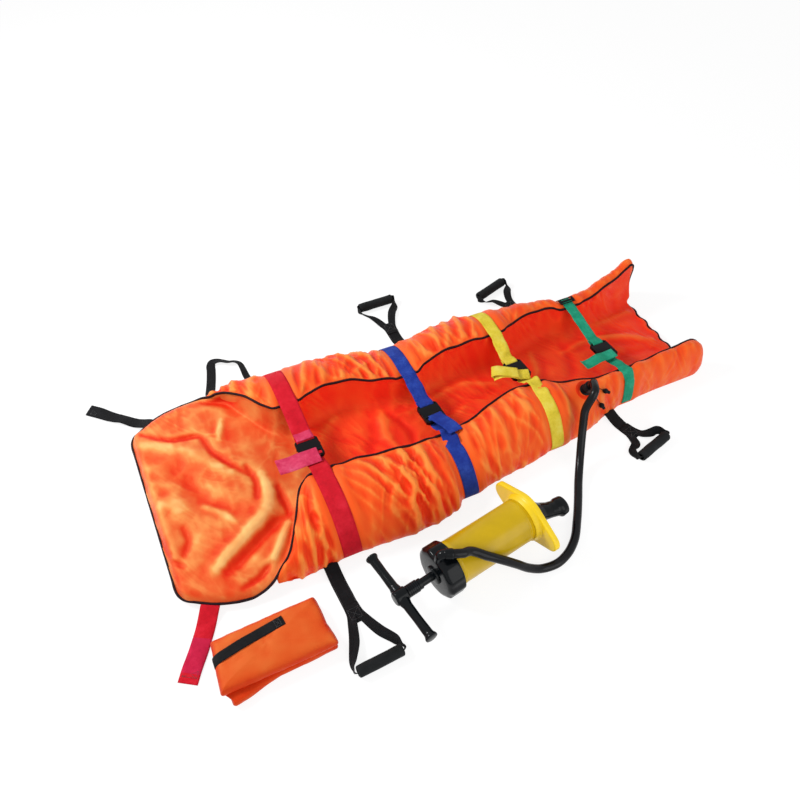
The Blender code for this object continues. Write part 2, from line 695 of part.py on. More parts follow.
def near_strap(strap, place, tilt):
    """The near half goes under the plug and up through its slot, and its free tail turns aside on top."""
    colour, station, width, _, _, tail_length, tail_heading = strap
    x = place_x(station)
    points = [Vector((x, -a, z)) for a, z in over_roll(NEAR_ROLL, station, WEBBING / 2)]
    top = BUCKLE_THICKNESS / 2 + GAP + WEBBING / 2
    slot = -PLUG_LENGTH * 0.4
    wrap = [(-PLUG_LENGTH - 0.004, -top), (slot, -top), (slot, top), (-PLUG_LENGTH + 0.004, top)]
    points += [in_buckle(place, tilt, along, up) for along, up in wrap]
    name = f"strap_{colour}_near"
    web = ribbon(name, points, (1.0, 0.0, 0.0), width, WEBBING)
    heading = Matrix.Rotation(math.radians(tail_heading), 3, "Z") @ Vector((1.0, 0.0, 0.0))
    side = Vector((-heading.y, heading.x, 0.0))
    lift = top + WEBBING * 0.4
    start = in_buckle(place, tilt, -PLUG_LENGTH * 0.45 - width * 0.28, lift)
    droop = [(-0.020, 0.0), (0.018, 0.0), (0.45 * tail_length, 0.002), (tail_length, -0.002)]
    tail_points = [start + heading * run + Vector((0.0, 0.0, rise)) for run, rise in droop]
    tail = ribbon(f"{name}_tail", tail_points, tuple(side), width, WEBBING)
    combine(web, tail, "UNION")
    return finish(web, STRAP_COLOURS[colour], 0.6)


def make_ladder(strap):
    """The ladder-lock that rides on the green strap's far half: a frame round the webbing."""
    _, station, width, *_ = strap
    line = over_roll(FAR_ROLL, station, WEBBING / 2)
    (a0, z0), (a1, z1) = line[-4], line[-3]
    middle = Vector((place_x(station), (a0 + a1) / 2, (z0 + z1) / 2))
    holder = empty("ladder_place", middle, (math.atan2(z0 - z1, a0 - a1), 0.0, 0.0))
    half, length = width / 2 + LADDER_MARGIN, LADDER_LENGTH / 2
    low = WEBBING / 2 + GAP
    frame = box("strap_green_ladder", (-half, -length, low), (half, length, low + LADDER_THICKNESS))
    across = width / 2 - 0.004
    for end in (-1, 1):
        start, stop = end * length / 2 - LADDER_SLOT / 2, end * length / 2 + LADDER_SLOT / 2
        cut = box(f"ladder_slot_{end}", (-across, start, 0.0), (across, stop, low + 2 * LADDER_THICKNESS))
        cut.parent = holder
        combine(frame, cut, "DIFFERENCE")
    return finish(frame, BLACK, 0.35, holder)


def make_straps():
    for strap in STRAPS:
        colour, _, width, *_ = strap
        place, tilt = buckle_place(strap)
        holder = empty(f"buckle_place_{colour}", place, (tilt, 0.0, 0.0))
        make_socket(colour, width, holder)
        make_plug(colour, width, holder)
        for end in ("head", "foot"):
            make_tab(colour, width, end, holder)
        far_strap(strap, place, tilt)
        near_strap(strap, place, tilt)
        if colour == "green":
            make_ladder(strap)


def bulge_reach(side, station):
    """How far out the roll's faces reach at its widest."""
    table = FAR_ROLL if side > 0 else NEAR_ROLL
    stations = ring_stations()
    reaches = []
    for ring in stations:
        outer, inner, _ = roll_sizes(table, ring)
        reaches.append(inner + ROLL_PROFILE[BULGE][0] * (outer - inner))
    return float(np.interp(station, stations, reaches))


def welt_reach(side, station):
    """How far out the welt reaches beside the flat head end."""
    table = FAR_FLAP if side > 0 else NEAR_FLAP
    knots = FLAP_STATIONS[2:]
    return float(np.interp(station, knots, [flap_width(table, knot) for knot in knots]))


def seam_on(name, side, station, width, reach_of, height, skin=0.0):
    """A frame on a seam: its X runs along the mattress edge and its Y straight out of it."""
    ends = [reach_of(side, station - width / 2), reach_of(side, station + width / 2)]
    lean = math.atan2(ends[1] - ends[0], width)
    proud = 0.0
    for share in (0.25, 0.5, 0.75):
        here = reach_of(side, station + (share - 0.5) * width)
        proud = max(proud, here - ends[0] - share * (ends[1] - ends[0]))
    across = sum(ends) / 2 + proud + (skin + GAP + HANDLE_WEBBING / 2) / math.cos(lean)
    turn = lean if side > 0 else math.pi - lean
    return empty(name, (place_x(station), side * across, height), (0.0, 0.0, turn)), lean


def leaned(corners, lean, straight):
    """The first corners keep to the seam; the rest turn with the strap as it lies."""
    sine, cosine = math.sin(lean), math.cos(lean)
    moved = []
    for i, (x, y, z) in enumerate(corners):
        if i < straight:
            moved.append((x + y * sine, y * cosine, z))
        else:
            moved.append((x * cosine + y * sine, y * cosine - x * sine, z))
    return moved


def strap_rows(width, run, drop, rest):
    """Rows of a webbing strip from its seam down to the floor and along it."""
    start = [(-HANDLE_WEBBING * 0.48, 0.0), (0.0, 0.0)]
    stages = start + [(drop * 0.35, -rest * 0.35), (drop, -rest), (run, -rest)]
    return [[(-width / 2, y, z), (0.0, y, z), (width / 2, y, z)] for y, z in stages]


def strip_faces(rows):
    faces = []
    for a in range(0, 3 * (len(rows) - 1), 3):
        faces += [(a, a + 1, a + 4, a + 3), (a + 1, a + 2, a + 5, a + 4)]
    return faces


def make_handle(number, station, side, heading, run, height):
    seam, edge = seam_on(f"handle_{number}_seam", side, station, HANDLE_WIDTH, bulge_reach, SEAM_HEIGHT)
    lean = side * (math.radians(heading) + edge)
    rest = SEAM_HEIGHT - HANDLE_WEBBING / 2 - GAP
    rows = strap_rows(HANDLE_WIDTH, run, 0.045, rest)
    corners = [corner for row in rows for corner in row]
    faces = strip_faces(rows)
    last = 3 * (len(rows) - 1)
    lift = -(SEAM_HEIGHT - GRIP_RADIUS)
    half = GRIP_LENGTH / 2
    web = GRIP_WEB / 2
    knee = run + height * 0.5
    clear = half + GRIP_FIT
    wide = half + 0.013
    level = run + height
    short = level - GRIP_RADIUS - 0.002
    middle = 0.62 * half
    leg = [
        (middle + LEG_WIDTH / 2, knee, -rest * 0.7), (middle - LEG_WIDTH / 2, knee + 0.004, -rest * 0.7),
        (wide, short, lift), (clear, short, lift), (wide - 0.004, level + web, lift),
        (clear, level - web, lift), (clear, level + web, lift),
    ]
    for x, y, z in leg:
        corners += [(-x, y, z), (x, y, z)]
    n = last + 3
    for right in (0, 1):
        outer, inner = n + right, n + 2 + right
        root = (last + 1, last + 2, outer, inner) if right else (last, last + 1, inner, outer)
        rings = [(outer, inner, inner + 4, outer + 4), (outer + 4, inner + 4, inner + 8, outer + 8),
                 (outer + 8, inner + 8, inner + 10)]
        faces.append(root)
        faces += [ring[::-1] if right else ring for ring in rings]
    faces.append((n + 10, n + 11, n + 13, n + 12))
    corners = leaned(corners, lean, 9)
    webbing = band_sheet(f"handle_{number}_webbing", corners, faces, HANDLE_WEBBING, (0, 1, 2))
    finish(webbing, BLACK, 0.75, seam)
    centre = (level * math.sin(lean), level * math.cos(lean), lift)
    axis = empty(f"handle_{number}_grip_axis", centre, (0.0, 0.0, -lean))
    axis.parent = seam
    bore = math.hypot(GRIP_WEB, HANDLE_WEBBING) / 2 / math.cos(math.pi / GRIP_SIDES) + GRIP_FIT
    side = [(half, bore), (half, GRIP_RADIUS - 0.003), (half - 0.003, GRIP_RADIUS)]
    profile = [(-x, radius) for x, radius in side] + side[::-1]
    finish(turned_on_x(f"handle_{number}_grip", profile, GRIP_SIDES, closed=True), BLACK, 0.85, axis)


def straight_strap(name, station, side, heading, width, run, colour):
    seam, edge = seam_on(f"{name}_seam", side, station, width, welt_reach, EDGE_HEIGHT, PIPING_RADIUS)
    lean = side * (math.radians(heading) + edge)
    rows = strap_rows(width, run, 0.035, EDGE_HEIGHT - HANDLE_WEBBING / 2 - GAP)
    corners = leaned([corner for row in rows for corner in row], lean, 9)
    return finish(band_sheet(name, corners, strip_faces(rows), HANDLE_WEBBING, (0, 1, 2)), colour, 0.7, seam)


def make_loop():
    """The plain webbing loop at the far side of the head. Its two ends meet the roll's curve."""
    span = LOOP_SPAN
    seam, edge = seam_on("head_loop_seam", 1, LOOP_STATION, span + LOOP_WIDTH, bulge_reach, SEAM_HEIGHT)
    half = LOOP_WIDTH / 2
    rest = SEAM_HEIGHT - HANDLE_WEBBING / 2 - GAP
    left, right = -span / 2, span / 2
    rows = [
        (0.0, 0.0, left, right), (0.05, -rest * 0.8, left + 0.012, right - 0.003),
        (0.10, -rest, left + 0.032, right - 0.010), (0.135, -rest, left + 0.046, right - 0.032),
    ]
    corners = []
    for x in (left - half, left + half, right - half, right + half):
        station = LOOP_STATION + x * math.cos(edge)
        past = Vector((place_x(station), bulge_reach(1, station))) - seam.location.xy
        corners.append((x, past.y * math.cos(edge) - past.x * math.sin(edge) + GAP, 0.0))
    for y, z, a, b in rows:
        corners += [(a - half, y, z), (a + half, y, z), (b - half, y, z), (b + half, y, z)]
    faces = []
    for a in range(0, 4 * len(rows), 4):
        faces += [(a, a + 1, a + 5, a + 4), (a + 2, a + 3, a + 7, a + 6)]
    n = len(corners)
    y, z, a, b = rows[-1]
    corners += [(a - half + 0.004, y + LOOP_WIDTH, z), (b + half - 0.004, y + LOOP_WIDTH, z)]
    faces.append((n - 4, n - 3, n - 2, n - 1, n + 1, n))
    sheet = band_sheet("head_loop", corners, faces, HANDLE_WEBBING, (0, 1, 2, 3))
    return finish(sheet, BLACK, 0.75, seam)


def make_handles():
    for number, handle in enumerate(HANDLES, 1):
        make_handle(number, *handle)
    make_loop()
    straight_strap("head_strap_red", *HEAD_STRAP_RED, STRAP_COLOURS["red"])
    straight_strap("head_strap_black", *HEAD_STRAP_BLACK, BLACK)


def lobed_ring(x, radius, depth):
    """A ring of the scalloped cap, with a lobe straight down."""
    count = CAP_LOBES * 4
    ring = []
    for i in range(count):
        turn = 2 * math.pi * i / count
        here = radius - depth * (0.5 - 0.5 * math.cos(CAP_LOBES * turn))
        ring.append((x, here * math.sin(turn), -here * math.cos(turn)))
    return ring


def elbow_line():
    """Centre line of the outlet elbow in the pump's frame: up out of the cap, then back over it."""
    top = CAP_RADIUS + HOSE_RISE
    turn = math.radians(ELBOW_HEADING)
    ahead = Vector((math.cos(turn), math.sin(turn), 0.0))
    base = Vector((ELBOW_STATION, 0.0, 0.0))
    line = [base + Vector((0, 0, CAP_RADIUS - CAP_WALL)), base + Vector((0, 0, top - 0.012))]
    line += [base + ahead * 0.005 + Vector((0, 0, top - 0.003)), base + ahead * 0.014 + Vector((0, 0, top))]
    line.append(base + ahead * ELBOW_REACH + Vector((0, 0, top)))
    return line, ahead


def make_cap(holder):
    stages = [(0.0, 0.014, 0.0), (0.004, 0.005, 0.0), (0.009, 0.0, CAP_LOBE_DEPTH),
              (CAP_LENGTH - 0.004, 0.0, CAP_LOBE_DEPTH), (CAP_LENGTH, 0.003, 0.0)]
    cap = loft("pump_cap", [lobed_ring(x, CAP_RADIUS - drawn, depth) for x, drawn, depth in stages])
    front = -BOSS_LENGTH
    boss_profile = [(front, 0.0), (front, BOSS_RADIUS - 0.002), (front + 0.002, BOSS_RADIUS),
                    (0.004, BOSS_RADIUS), (0.004, 0.0)]
    boss = turned_on_x("cap_boss", boss_profile, 24)
    line, _ = elbow_line()
    elbow = tube_mesh("cap_elbow", line, HOSE_RADIUS, 3)
    socket = disc_on_x("cap_socket", CAP_WALL, CAP_LENGTH + 0.01, BARREL_RADIUS + FIT, ROUND_SIDES)
    bore = disc_on_x("cap_bore", front - 0.01, CAP_LENGTH, ROD_RADIUS + FIT, 16)
    for part, operation in ((boss, "UNION"), (elbow, "UNION"), (socket, "DIFFERENCE"), (bore, "DIFFERENCE")):
        part.parent = holder
        combine(cap, part, operation)
    return finish(cap, BLACK, 0.2, holder)


def make_barrel(holder):
    start, stop = CAP_WALL + FIT, PUMP_LENGTH - FIT
    inner = BARREL_RADIUS - BARREL_WALL
    profile = [(start, inner), (start, BARREL_RADIUS), (stop, BARREL_RADIUS), (stop, inner)]
    barrel = turned_on_x("pump_barrel", profile, ROUND_SIDES, closed=True)
    return finish(barrel, PUMP_YELLOW, 0.4, holder)


def plate_outline(grow):
    """The foot plate across the pump: a round hub with a wing out to each side."""
    hub, tip = CAP_RADIUS + grow, WING_RADIUS + grow
    centre = WING_SPAN / 2 - WING_RADIUS
    tangent = math.acos((hub - tip) / centre)
    points = []
    for start, stop, at, radius, count in (
        (-tangent, tangent, centre, tip, 9),
        (tangent, math.pi - tangent, 0.0, hub, 7),
        (math.pi - tangent, math.pi + tangent, -centre, tip, 9),
        (math.pi + tangent, 2 * math.pi - tangent, 0.0, hub, 7),
    ):
        for turn in np.linspace(start, stop, count):
            points.append((at + radius * math.cos(turn), radius * math.sin(turn)))
    return [point for i, point in enumerate(points) if math.dist(point, points[i - 1]) > 0.0005]


def make_base(holder):
    """The foot plate: a winged plate, hollow behind, with a collar that holds the barrel."""
    front, back = PUMP_LENGTH, PUMP_LENGTH + PLATE_THICKNESS
    rings = []
    for x, grow in ((front, -0.003), (front + 0.003, 0.0), (back - 0.002, 0.0), (back, -0.001)):
        rings.append([(x, y, z) for y, z in plate_outline(grow)])
    base = loft("pump_base", rings)
    inside = plate_outline(-PLATE_WALL)
    hollow = loft("base_hollow", [[(x, y, z) for y, z in inside] for x in (front + PLATE_SKIN, back + 0.01)])
    bore, seat = BARREL_RADIUS + FIT, front + 0.002
    collar_profile = [(front - FOOT_COLLAR, bore), (front - FOOT_COLLAR, BARREL_RADIUS + 0.004),
                      (front - 0.002, BARREL_RADIUS + 0.007), (seat, BARREL_RADIUS + 0.007), (seat, bore)]
    collar = turned_on_x("base_collar", collar_profile, ROUND_SIDES, closed=True)
    hub = disc_on_x("base_hub", front + 0.001, back, HUB_PLATE_RADIUS, 32)
    parts = [(hollow, "DIFFERENCE"), (collar, "UNION"), (hub, "UNION")]
    for sign in (-1, 1):
        low, high = sorted((sign * (HUB_PLATE_RADIUS - 0.002), sign * (WING_SPAN / 2 - 0.006)))
        rib = box(f"base_rib_{sign}", (seat, low, -PLATE_RIB / 2), (back - 0.001, high, PLATE_RIB / 2))
        parts.append((rib, "UNION"))
    parts.append((disc_on_x("base_port", front - 0.01, back + 0.01, INLET_BORE, 20), "DIFFERENCE"))
    for part, operation in parts:
        part.parent = holder
        combine(base, part, operation)
    return finish(base, PUMP_YELLOW, 0.4, holder)


def make_inlet(holder):
    """The black moulded inlet behind the foot plate: a flange, a waist and a flared lip."""
    start = PUMP_LENGTH + PLATE_THICKNESS + GAP
    aside, down = INLET_SHIFT
    turns = np.linspace(0, 2 * math.pi, 24, endpoint=False)
    rings = []
    for share, radius, shift in INLET_STAGES:
        x, y, z = start + share * INLET_REACH, aside * shift, down * shift
        rings.append([(x, y + radius * math.cos(a), z + radius * math.sin(a)) for a in turns])
    inlet = loft("pump_inlet", rings)
    bore = disc_on_x("inlet_bore", start + 0.65 * INLET_REACH, start + INLET_REACH + 0.01, INLET_BORE, 20)
    bore.location = (0.0, aside, down)
    bore.parent = holder
    combine(inlet, bore, "DIFFERENCE")
    return finish(inlet, BLACK, 0.25, holder)


def make_rod(holder):
    tip = -BOSS_LENGTH - DRAWN_OUT
    hub_face = tip - COLLAR_LENGTH
    seat = hub_face - ROD_SEAT + FIT
    back = PISTON_AT + PISTON_LENGTH
    collar = [(hub_face + GAP, ROD_RADIUS), (hub_face + GAP, COLLAR_RADIUS), (tip - 0.012, COLLAR_RADIUS),
              (tip - 0.010, COLLAR_RADIUS - 0.002), (tip, COLLAR_RADIUS - 0.002), (tip, ROD_RADIUS)]
    spigot = [(PISTON_AT - GAP, ROD_RADIUS), (PISTON_AT - GAP, ROD_SPIGOT), (back, ROD_SPIGOT), (back, 0.0)]
    profile = [(seat, 0.0), (seat, ROD_RADIUS), *collar, *spigot]
    finish(turned_on_x("pump_rod", profile, 16), BLACK, 0.25, holder)
    return hub_face


def make_piston(holder):
    wall = BARREL_RADIUS - BARREL_WALL - PISTON_GAP
    centre = BARREL_RADIUS - BARREL_WALL - SEAL_GAP - SEAL_RADIUS
    groove = centre - SEAL_RADIUS - GAP
    middle = PISTON_AT + PISTON_LENGTH / 2
    half = SEAL_RADIUS + GAP
    front, back, bore = PISTON_AT, PISTON_AT + PISTON_LENGTH, ROD_SPIGOT + FIT
    profile = [(front, bore), (front, wall - 0.002), (front + 0.002, wall), (middle - half, wall),
               (middle - half, groove), (middle + half, groove), (middle + half, wall),
               (back - 0.002, wall), (back, wall - 0.002), (back, bore)]
    finish(turned_on_x("pump_piston", profile, ROUND_SIDES, closed=True), BLACK, 0.4, holder)
    turns = np.linspace(2 * math.pi, 0, 6, endpoint=False)
    ring = [(middle + SEAL_RADIUS * math.sin(a), centre + SEAL_RADIUS * math.cos(a)) for a in turns]
    finish(turned_on_x("piston_seal", ring, ROUND_SIDES, closed=True), BLACK, 0.6, holder)


def make_pump_handle(holder, hub_face):
    half = HANDLE_SPAN / 2
    side = [(half, 0.0), (half, HANDLE_FLARE), (half - 0.005, HANDLE_FLARE), (half - 0.013, HANDLE_RADIUS),
            (0.030, HANDLE_RADIUS), (0.024, HANDLE_RADIUS + 0.0015)]
    profile = [(-y, r) for y, r in side] + [(y, r) for y, r in reversed(side)]
    handle = turned("pump_handle", profile, 16)
    centre = hub_face - HUB_LENGTH / 2
    handle.data.transform(Matrix.Translation((centre, 0.0, 0.0)) @ Matrix.Rotation(math.radians(90), 4, "X"))
    front = hub_face - HUB_LENGTH
    hub_profile = [(front, 0.0), (front, HUB_RADIUS - 0.004), (front + 0.004, HUB_RADIUS),
                   (hub_face - 0.003, HUB_RADIUS), (hub_face, HUB_RADIUS - 0.002), (hub_face, 0.0)]
    hub = turned_on_x("handle_hub", hub_profile, 20)
    seat = disc_on_x("handle_seat", hub_face - ROD_SEAT, hub_face + 0.01, ROD_RADIUS + FIT, 16)
    for part, operation in ((hub, "UNION"), (seat, "DIFFERENCE")):
        part.parent = holder
        combine(handle, part, operation)
    return finish(handle, BLACK, 0.2, holder)


def pump_origin():
    return (place_x(PUMP_AT[0]), PUMP_AT[1], CAP_RADIUS)


def make_pump():
    holder = empty("pump_place", pump_origin(), (0.0, 0.0, math.radians(PUMP_HEADING)))
    make_cap(holder)
    make_barrel(holder)
    make_base(holder)
    make_inlet(holder)
    slide = empty("pump_slide_axis", (0.0, 0.0, 0.0))
    slide.parent = holder
    hub_face = make_rod(slide)
    make_piston(slide)
    make_pump_handle(slide, hub_face)


def valve_frame():
    """The valve's seat on the near roll, with Z square to the roll."""
    profile = roll_profile(NEAR_ROLL, VALVE_STATION)
    outer, inner, _ = roll_sizes(NEAR_ROLL, VALVE_STATION)
    across = inner + VALVE_ACROSS * (outer - inner)
    for (a0, z0), (a1, z1) in zip(profile[CORNER:], profile[CORNER + 1 :]):
        if a0 <= across <= a1:
            height = z0 + (z1 - z0) * (across - a0) / (a1 - a0)
            tilt = math.atan2(z0 - z1, a1 - a0)
            break
    return (place_x(VALVE_STATION), -across, height), (tilt, 0.0, 0.0)


def solid_profile(table, station):
    """The roll's profile as its faces have it between two rings."""
    rings = ring_stations()
    after = next(i for i, ring in enumerate(rings) if ring >= station)
    share = (station - rings[after - 1]) / (rings[after] - rings[after - 1])
    pair = zip(roll_profile(table, rings[after - 1]), roll_profile(table, rings[after]))
    return [Vector(first).lerp(Vector(second), share) for first, second in pair]


def beside_valve(seat, along, down, lift):
    """A point in the valve's frame: along the roll from the valve, down its outer side and off its face."""
    line = outside(solid_profile(NEAR_ROLL, VALVE_STATION + along)[CORNER:-1], lift)
    start = -seat.location.y
    for first, second in zip(line, line[1:]):
        run = (second - first).length
        if first.x <= start <= second.x:
            down += run * (start - first.x) / (second.x - first.x)
            start = math.inf
        if start == math.inf and down <= run:
            across, height = first.lerp(second, down / run)
            break
        if start == math.inf:
            down -= run
    place = Vector((seat.location.x + along, -across, height)) - seat.location
    return tuple(seat.rotation_euler.to_matrix().inverted() @ place)


def tether_route(seat, start, path):
    """From the ring over the patch and the roll to the stopper, whose axis lies its own radius off the roll."""
    edge = Vector(start[:2]).normalized() * (PATCH_RADIUS + 0.003)
    lifts = [TETHER_LIFT] * (len(path) - 1) + [STOPPER_RADIUS + STOPPER_CLEAR]
    laid = [beside_valve(seat, along, down, lift) for (along, down), lift in zip(path, lifts)]
    return [start, (*edge, TETHER_LIFT), *laid]


def make_stopper(name, seat, low, route):
    """A stopper that lies beside the valve, with its tether and the ring round the neck of the valve."""
    high = low + TETHER_RING
    inner, outer = VALVE_NECK + GAP, VALVE_NECK + 0.003
    ring = turned(name, [(low, inner), (low, outer), (high, outer), (high, inner)], 20, closed=True)
    cord = tube_mesh(f"{name}_cord", route, TETHER_RADIUS, 1)
    end, before = Vector(route[-1]), Vector(route[-2])
    wide = STOPPER_RADIUS
    head = [(-0.003, 0.0), (-0.003, wide * 0.6), (0.002, wide), (0.007, wide)]
    stem = [(0.009, wide * 0.7), (STOPPER_LENGTH, wide * 0.55), (STOPPER_LENGTH, 0.0)]
    plug = turned(f"{name}_body", head + stem, 14)
    plug.data.transform(Matrix.Translation(end) @ (end - before).to_track_quat("Z", "Y").to_matrix().to_4x4())
    for part in (cord, plug):
        part.parent = seat
        combine(ring, part, "UNION")
    return finish(ring, PIPING_COLOUR, 0.4, seat)


def make_valve(near_roll):
    location, rotation = valve_frame()
    seat = empty("valve_seat", location, rotation)
    wide = PATCH_RADIUS + GAP
    recess = turned("valve_recess", [(-PATCH_SINK, 0.0), (-PATCH_SINK, wide), (0.05, wide), (0.05, 0.0)], 28)
    recess.parent = seat
    combine(near_roll, recess, "DIFFERENCE")
    low = -PATCH_SINK + GAP
    top = low + PATCH_THICKNESS
    patch_profile = [(low, 0.0), (low, PATCH_RADIUS), (top, PATCH_RADIUS - 0.0005), (top, 0.0)]
    finish(turned("valve_patch", patch_profile, 28), PATCH_COLOUR, 0.5, seat)
    foot = top + GAP
    body = [(foot, VALVE_BORE), (foot, VALVE_FLANGE), (foot + 0.003, VALVE_FLANGE - 0.001),
            (foot + 0.004, VALVE_NECK), (VALVE_HEIGHT, VALVE_NECK), (VALVE_HEIGHT, VALVE_BORE)]
    finish(turned("valve_body", body, 20, closed=True), BLACK, 0.3, seat)
    sleeve, stop = VALVE_HEIGHT - SLEEVE_LENGTH, VALVE_HEIGHT + GAP
    outer = [(sleeve, FITTING_RADIUS - 0.001), (sleeve + 0.002, FITTING_RADIUS),
             (FITTING_HEIGHT - 0.002, FITTING_RADIUS), (FITTING_HEIGHT, FITTING_RADIUS - 0.002)]
    neck = VALVE_NECK + GAP
    inner = [(FITTING_HEIGHT, VALVE_BORE), (stop, VALVE_BORE), (stop, neck), (sleeve, neck)]
    finish(turned("hose_fitting", outer + inner, 20, closed=True), BLACK, 0.3, seat)
    ring = VALVE_NECK + 0.0025
    low_ring = foot + 0.0045
    high_ring = low_ring + TETHER_RING + 0.0006
    start = (ring, 0.0, low_ring + TETHER_RING / 2)
    make_stopper("valve_stopper", seat, low_ring, tether_route(seat, start, VALVE_TETHER))
    start = (ring * 0.6, -ring * 0.8, high_ring + TETHER_RING / 2)
    make_stopper("release_stopper", seat, high_ring, tether_route(seat, start, RELEASE_TETHER))


def make_hose():
    """The hose's centre line: straight out of the elbow, along the route, and straight into the fitting."""
    turn = Matrix.Rotation(math.radians(PUMP_HEADING), 3, "Z")
    line, ahead = elbow_line()
    mouth = turn @ line[-1] + Vector(pump_origin())
    ahead = turn @ ahead
    location, rotation = valve_frame()
    up = Matrix.Rotation(rotation[0], 3, "X") @ Vector((0.0, 0.0, 1.0))
    end = Vector(location) + up * (FITTING_HEIGHT + GAP)
    straight = 2 * HOSE_RADIUS
    route = [mouth + ahead * GAP, mouth + ahead * straight]
    route += [Vector((place_x(x), y, z)) for x, y, z in HOSE_ROUTE]
    route += [end + up * straight * 1.25 + Vector((-0.019, -0.031, 0.002)), end + up * straight, end]
    lengths = np.insert(np.cumsum([(b - a).length for a, b in zip(route, route[1:])]), 0, 0.0)
    inner = np.linspace(lengths[1], lengths[-2], HOSE_POINTS - 2)
    curve = smooth_through(lengths[1:-1], [tuple(point) for point in route[1:-1]], inner)
    points = [tuple(route[0]), *[tuple(point) for point in curve], tuple(route[-1])]
    print("hose length", round(float(lengths[-1]), 3))
    return finish(tube("hose", points, HOSE_RADIUS, 3), BLACK, 0.25)


def rounded_outline(corners, radius, inset, steps=5):
    """Corner points with round corners, drawn in by inset."""
    corners = [Vector(corner) for corner in corners]
    points = []
    for i, corner in enumerate(corners):
        before = (corners[i - 1] - corner).normalized()
        after = (corners[(i + 1) % len(corners)] - corner).normalized()
        middle = (before + after).normalized()
        half = before.angle(after) / 2
        centre = corner + middle * (radius / math.sin(half))
        turn = math.pi - 2 * half
        outward = -middle
        for j in range(steps):
            angle = -turn / 2 + turn * j / (steps - 1)
            direction = Matrix.Rotation(angle, 2) @ outward
            points.append(centre + direction * (radius - inset))
    return points


def pouch_corners():
    return [(place_x(x), y) for x, y in reversed(POUCH_CORNERS)]


def make_pouch():
    """The folded pouch: two padded layers with a fold line between them and a soft crown."""
    rings = []
    for share, inset in POUCH_PROFILE:
        outline = rounded_outline(pouch_corners(), POUCH_CORNER_RADIUS, inset)
        rings.append([(x, y, share * POUCH_HEIGHT) for x, y in outline])
    pouch = loft("pouch", rings)
    return finish(pouch, ORANGE, 0.45)


def make_pouch_strap():
    """The closing strap: from its stitched end on the top, over the head side and down it."""
    low, high = pouch_corners()[0], pouch_corners()[3]
    foot = Vector(low).lerp(Vector(high), 1.0 - POUCH_STRAP_FOOT)
    end = Vector((place_x(POUCH_STRAP_END[0]), POUCH_STRAP_END[1]))
    inward = (end - foot).normalized()
    bridged = [stage for i, stage in enumerate(POUCH_PROFILE) if i and i not in POUCH_FOLD]
    line = [(inset, share * POUCH_HEIGHT) for share, inset in bridged] + [(0.050, POUCH_HEIGHT)]
    stages = outside(line, WEBBING / 2 + 2 * GAP)
    points = [(*(foot + inward * run), z) for run, z in stages]
    points.append((end.x, end.y, points[-1][2]))
    edge = (Vector(low) - Vector(high)).normalized()
    sides = [(edge.x, edge.y, 0.0)] * len(line) + [(inward.y, -inward.x, 0.0)]
    return finish(ribbon("pouch_strap", points, sides, POUCH_STRAP_WIDTH, WEBBING), BLACK, 0.7)


def main():
    clear_scene()
    near_roll, _ = make_mattress()
    make_straps()
    make_handles()
    make_valve(near_roll)
    make_pump()
    make_hose()
    make_pouch()
    make_pouch_strap()


main()
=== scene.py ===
import bmesh
import bpy
import json
import math
import numpy as np
from mathutils import Matrix, Vector
from mathutils.bvhtree import BVHTree


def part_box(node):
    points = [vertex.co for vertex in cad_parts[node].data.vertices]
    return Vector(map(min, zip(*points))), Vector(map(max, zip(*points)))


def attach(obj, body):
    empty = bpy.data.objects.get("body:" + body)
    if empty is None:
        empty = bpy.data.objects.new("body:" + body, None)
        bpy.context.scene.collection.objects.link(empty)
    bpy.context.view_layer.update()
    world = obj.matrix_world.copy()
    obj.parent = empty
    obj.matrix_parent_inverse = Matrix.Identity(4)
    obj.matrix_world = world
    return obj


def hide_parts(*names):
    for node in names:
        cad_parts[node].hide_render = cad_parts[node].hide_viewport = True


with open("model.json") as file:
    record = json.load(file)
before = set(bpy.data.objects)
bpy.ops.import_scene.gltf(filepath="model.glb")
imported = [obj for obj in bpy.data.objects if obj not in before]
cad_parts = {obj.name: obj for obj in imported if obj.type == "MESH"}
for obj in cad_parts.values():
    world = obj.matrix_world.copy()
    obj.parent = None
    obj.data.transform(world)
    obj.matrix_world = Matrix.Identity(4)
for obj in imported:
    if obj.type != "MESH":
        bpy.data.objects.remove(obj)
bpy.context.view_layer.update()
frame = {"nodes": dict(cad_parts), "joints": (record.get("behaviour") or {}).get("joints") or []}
scene = bpy.context.scene
gap = 0.0004


# Small helpers

def link(obj):
    scene.collection.objects.link(obj)
    return obj


def addNode(tree, kind, inputs=None, **settings):
    made = tree.nodes.new(kind)
    for name, value in settings.items():
        setattr(made, name, value)
    for socket, value in (inputs or {}).items():
        if isinstance(value, bpy.types.NodeSocket):
            tree.links.new(value, made.inputs[socket])
        else:
            made.inputs[socket].default_value = value
    return made


def maths(tree, operation, first, second=0.0, third=0.0):
    return addNode(tree, "ShaderNodeMath", {0: first, 1: second, 2: third}, operation=operation).outputs[0]


def colourRamp(tree, factor, stops):
    ramp = addNode(tree, "ShaderNodeValToRGB", {"Fac": factor})
    elements = ramp.color_ramp.elements
    while len(elements) < len(stops):
        elements.new(0.5)
    for element, (at, colour) in zip(elements, stops):
        element.position = at
        element.color = (*colour, 1.0)
    return ramp.outputs["Color"]


def blankFinish(name, **sockets):
    made = bpy.data.materials.new(name)
    made.use_nodes = True
    shader = made.node_tree.nodes["Principled BSDF"]
    for socket, value in sockets.items():
        shader.inputs[socket.replace("_", " ")].default_value = value
    return made, made.node_tree, shader


def objectNoise(tree, scale, detail=3.0, vector=None):
    place = vector or addNode(tree, "ShaderNodeTexCoord").outputs["Object"]
    return addNode(tree, "ShaderNodeTexNoise",
                   {"Vector": place, "Scale": scale, "Detail": detail}).outputs["Fac"]


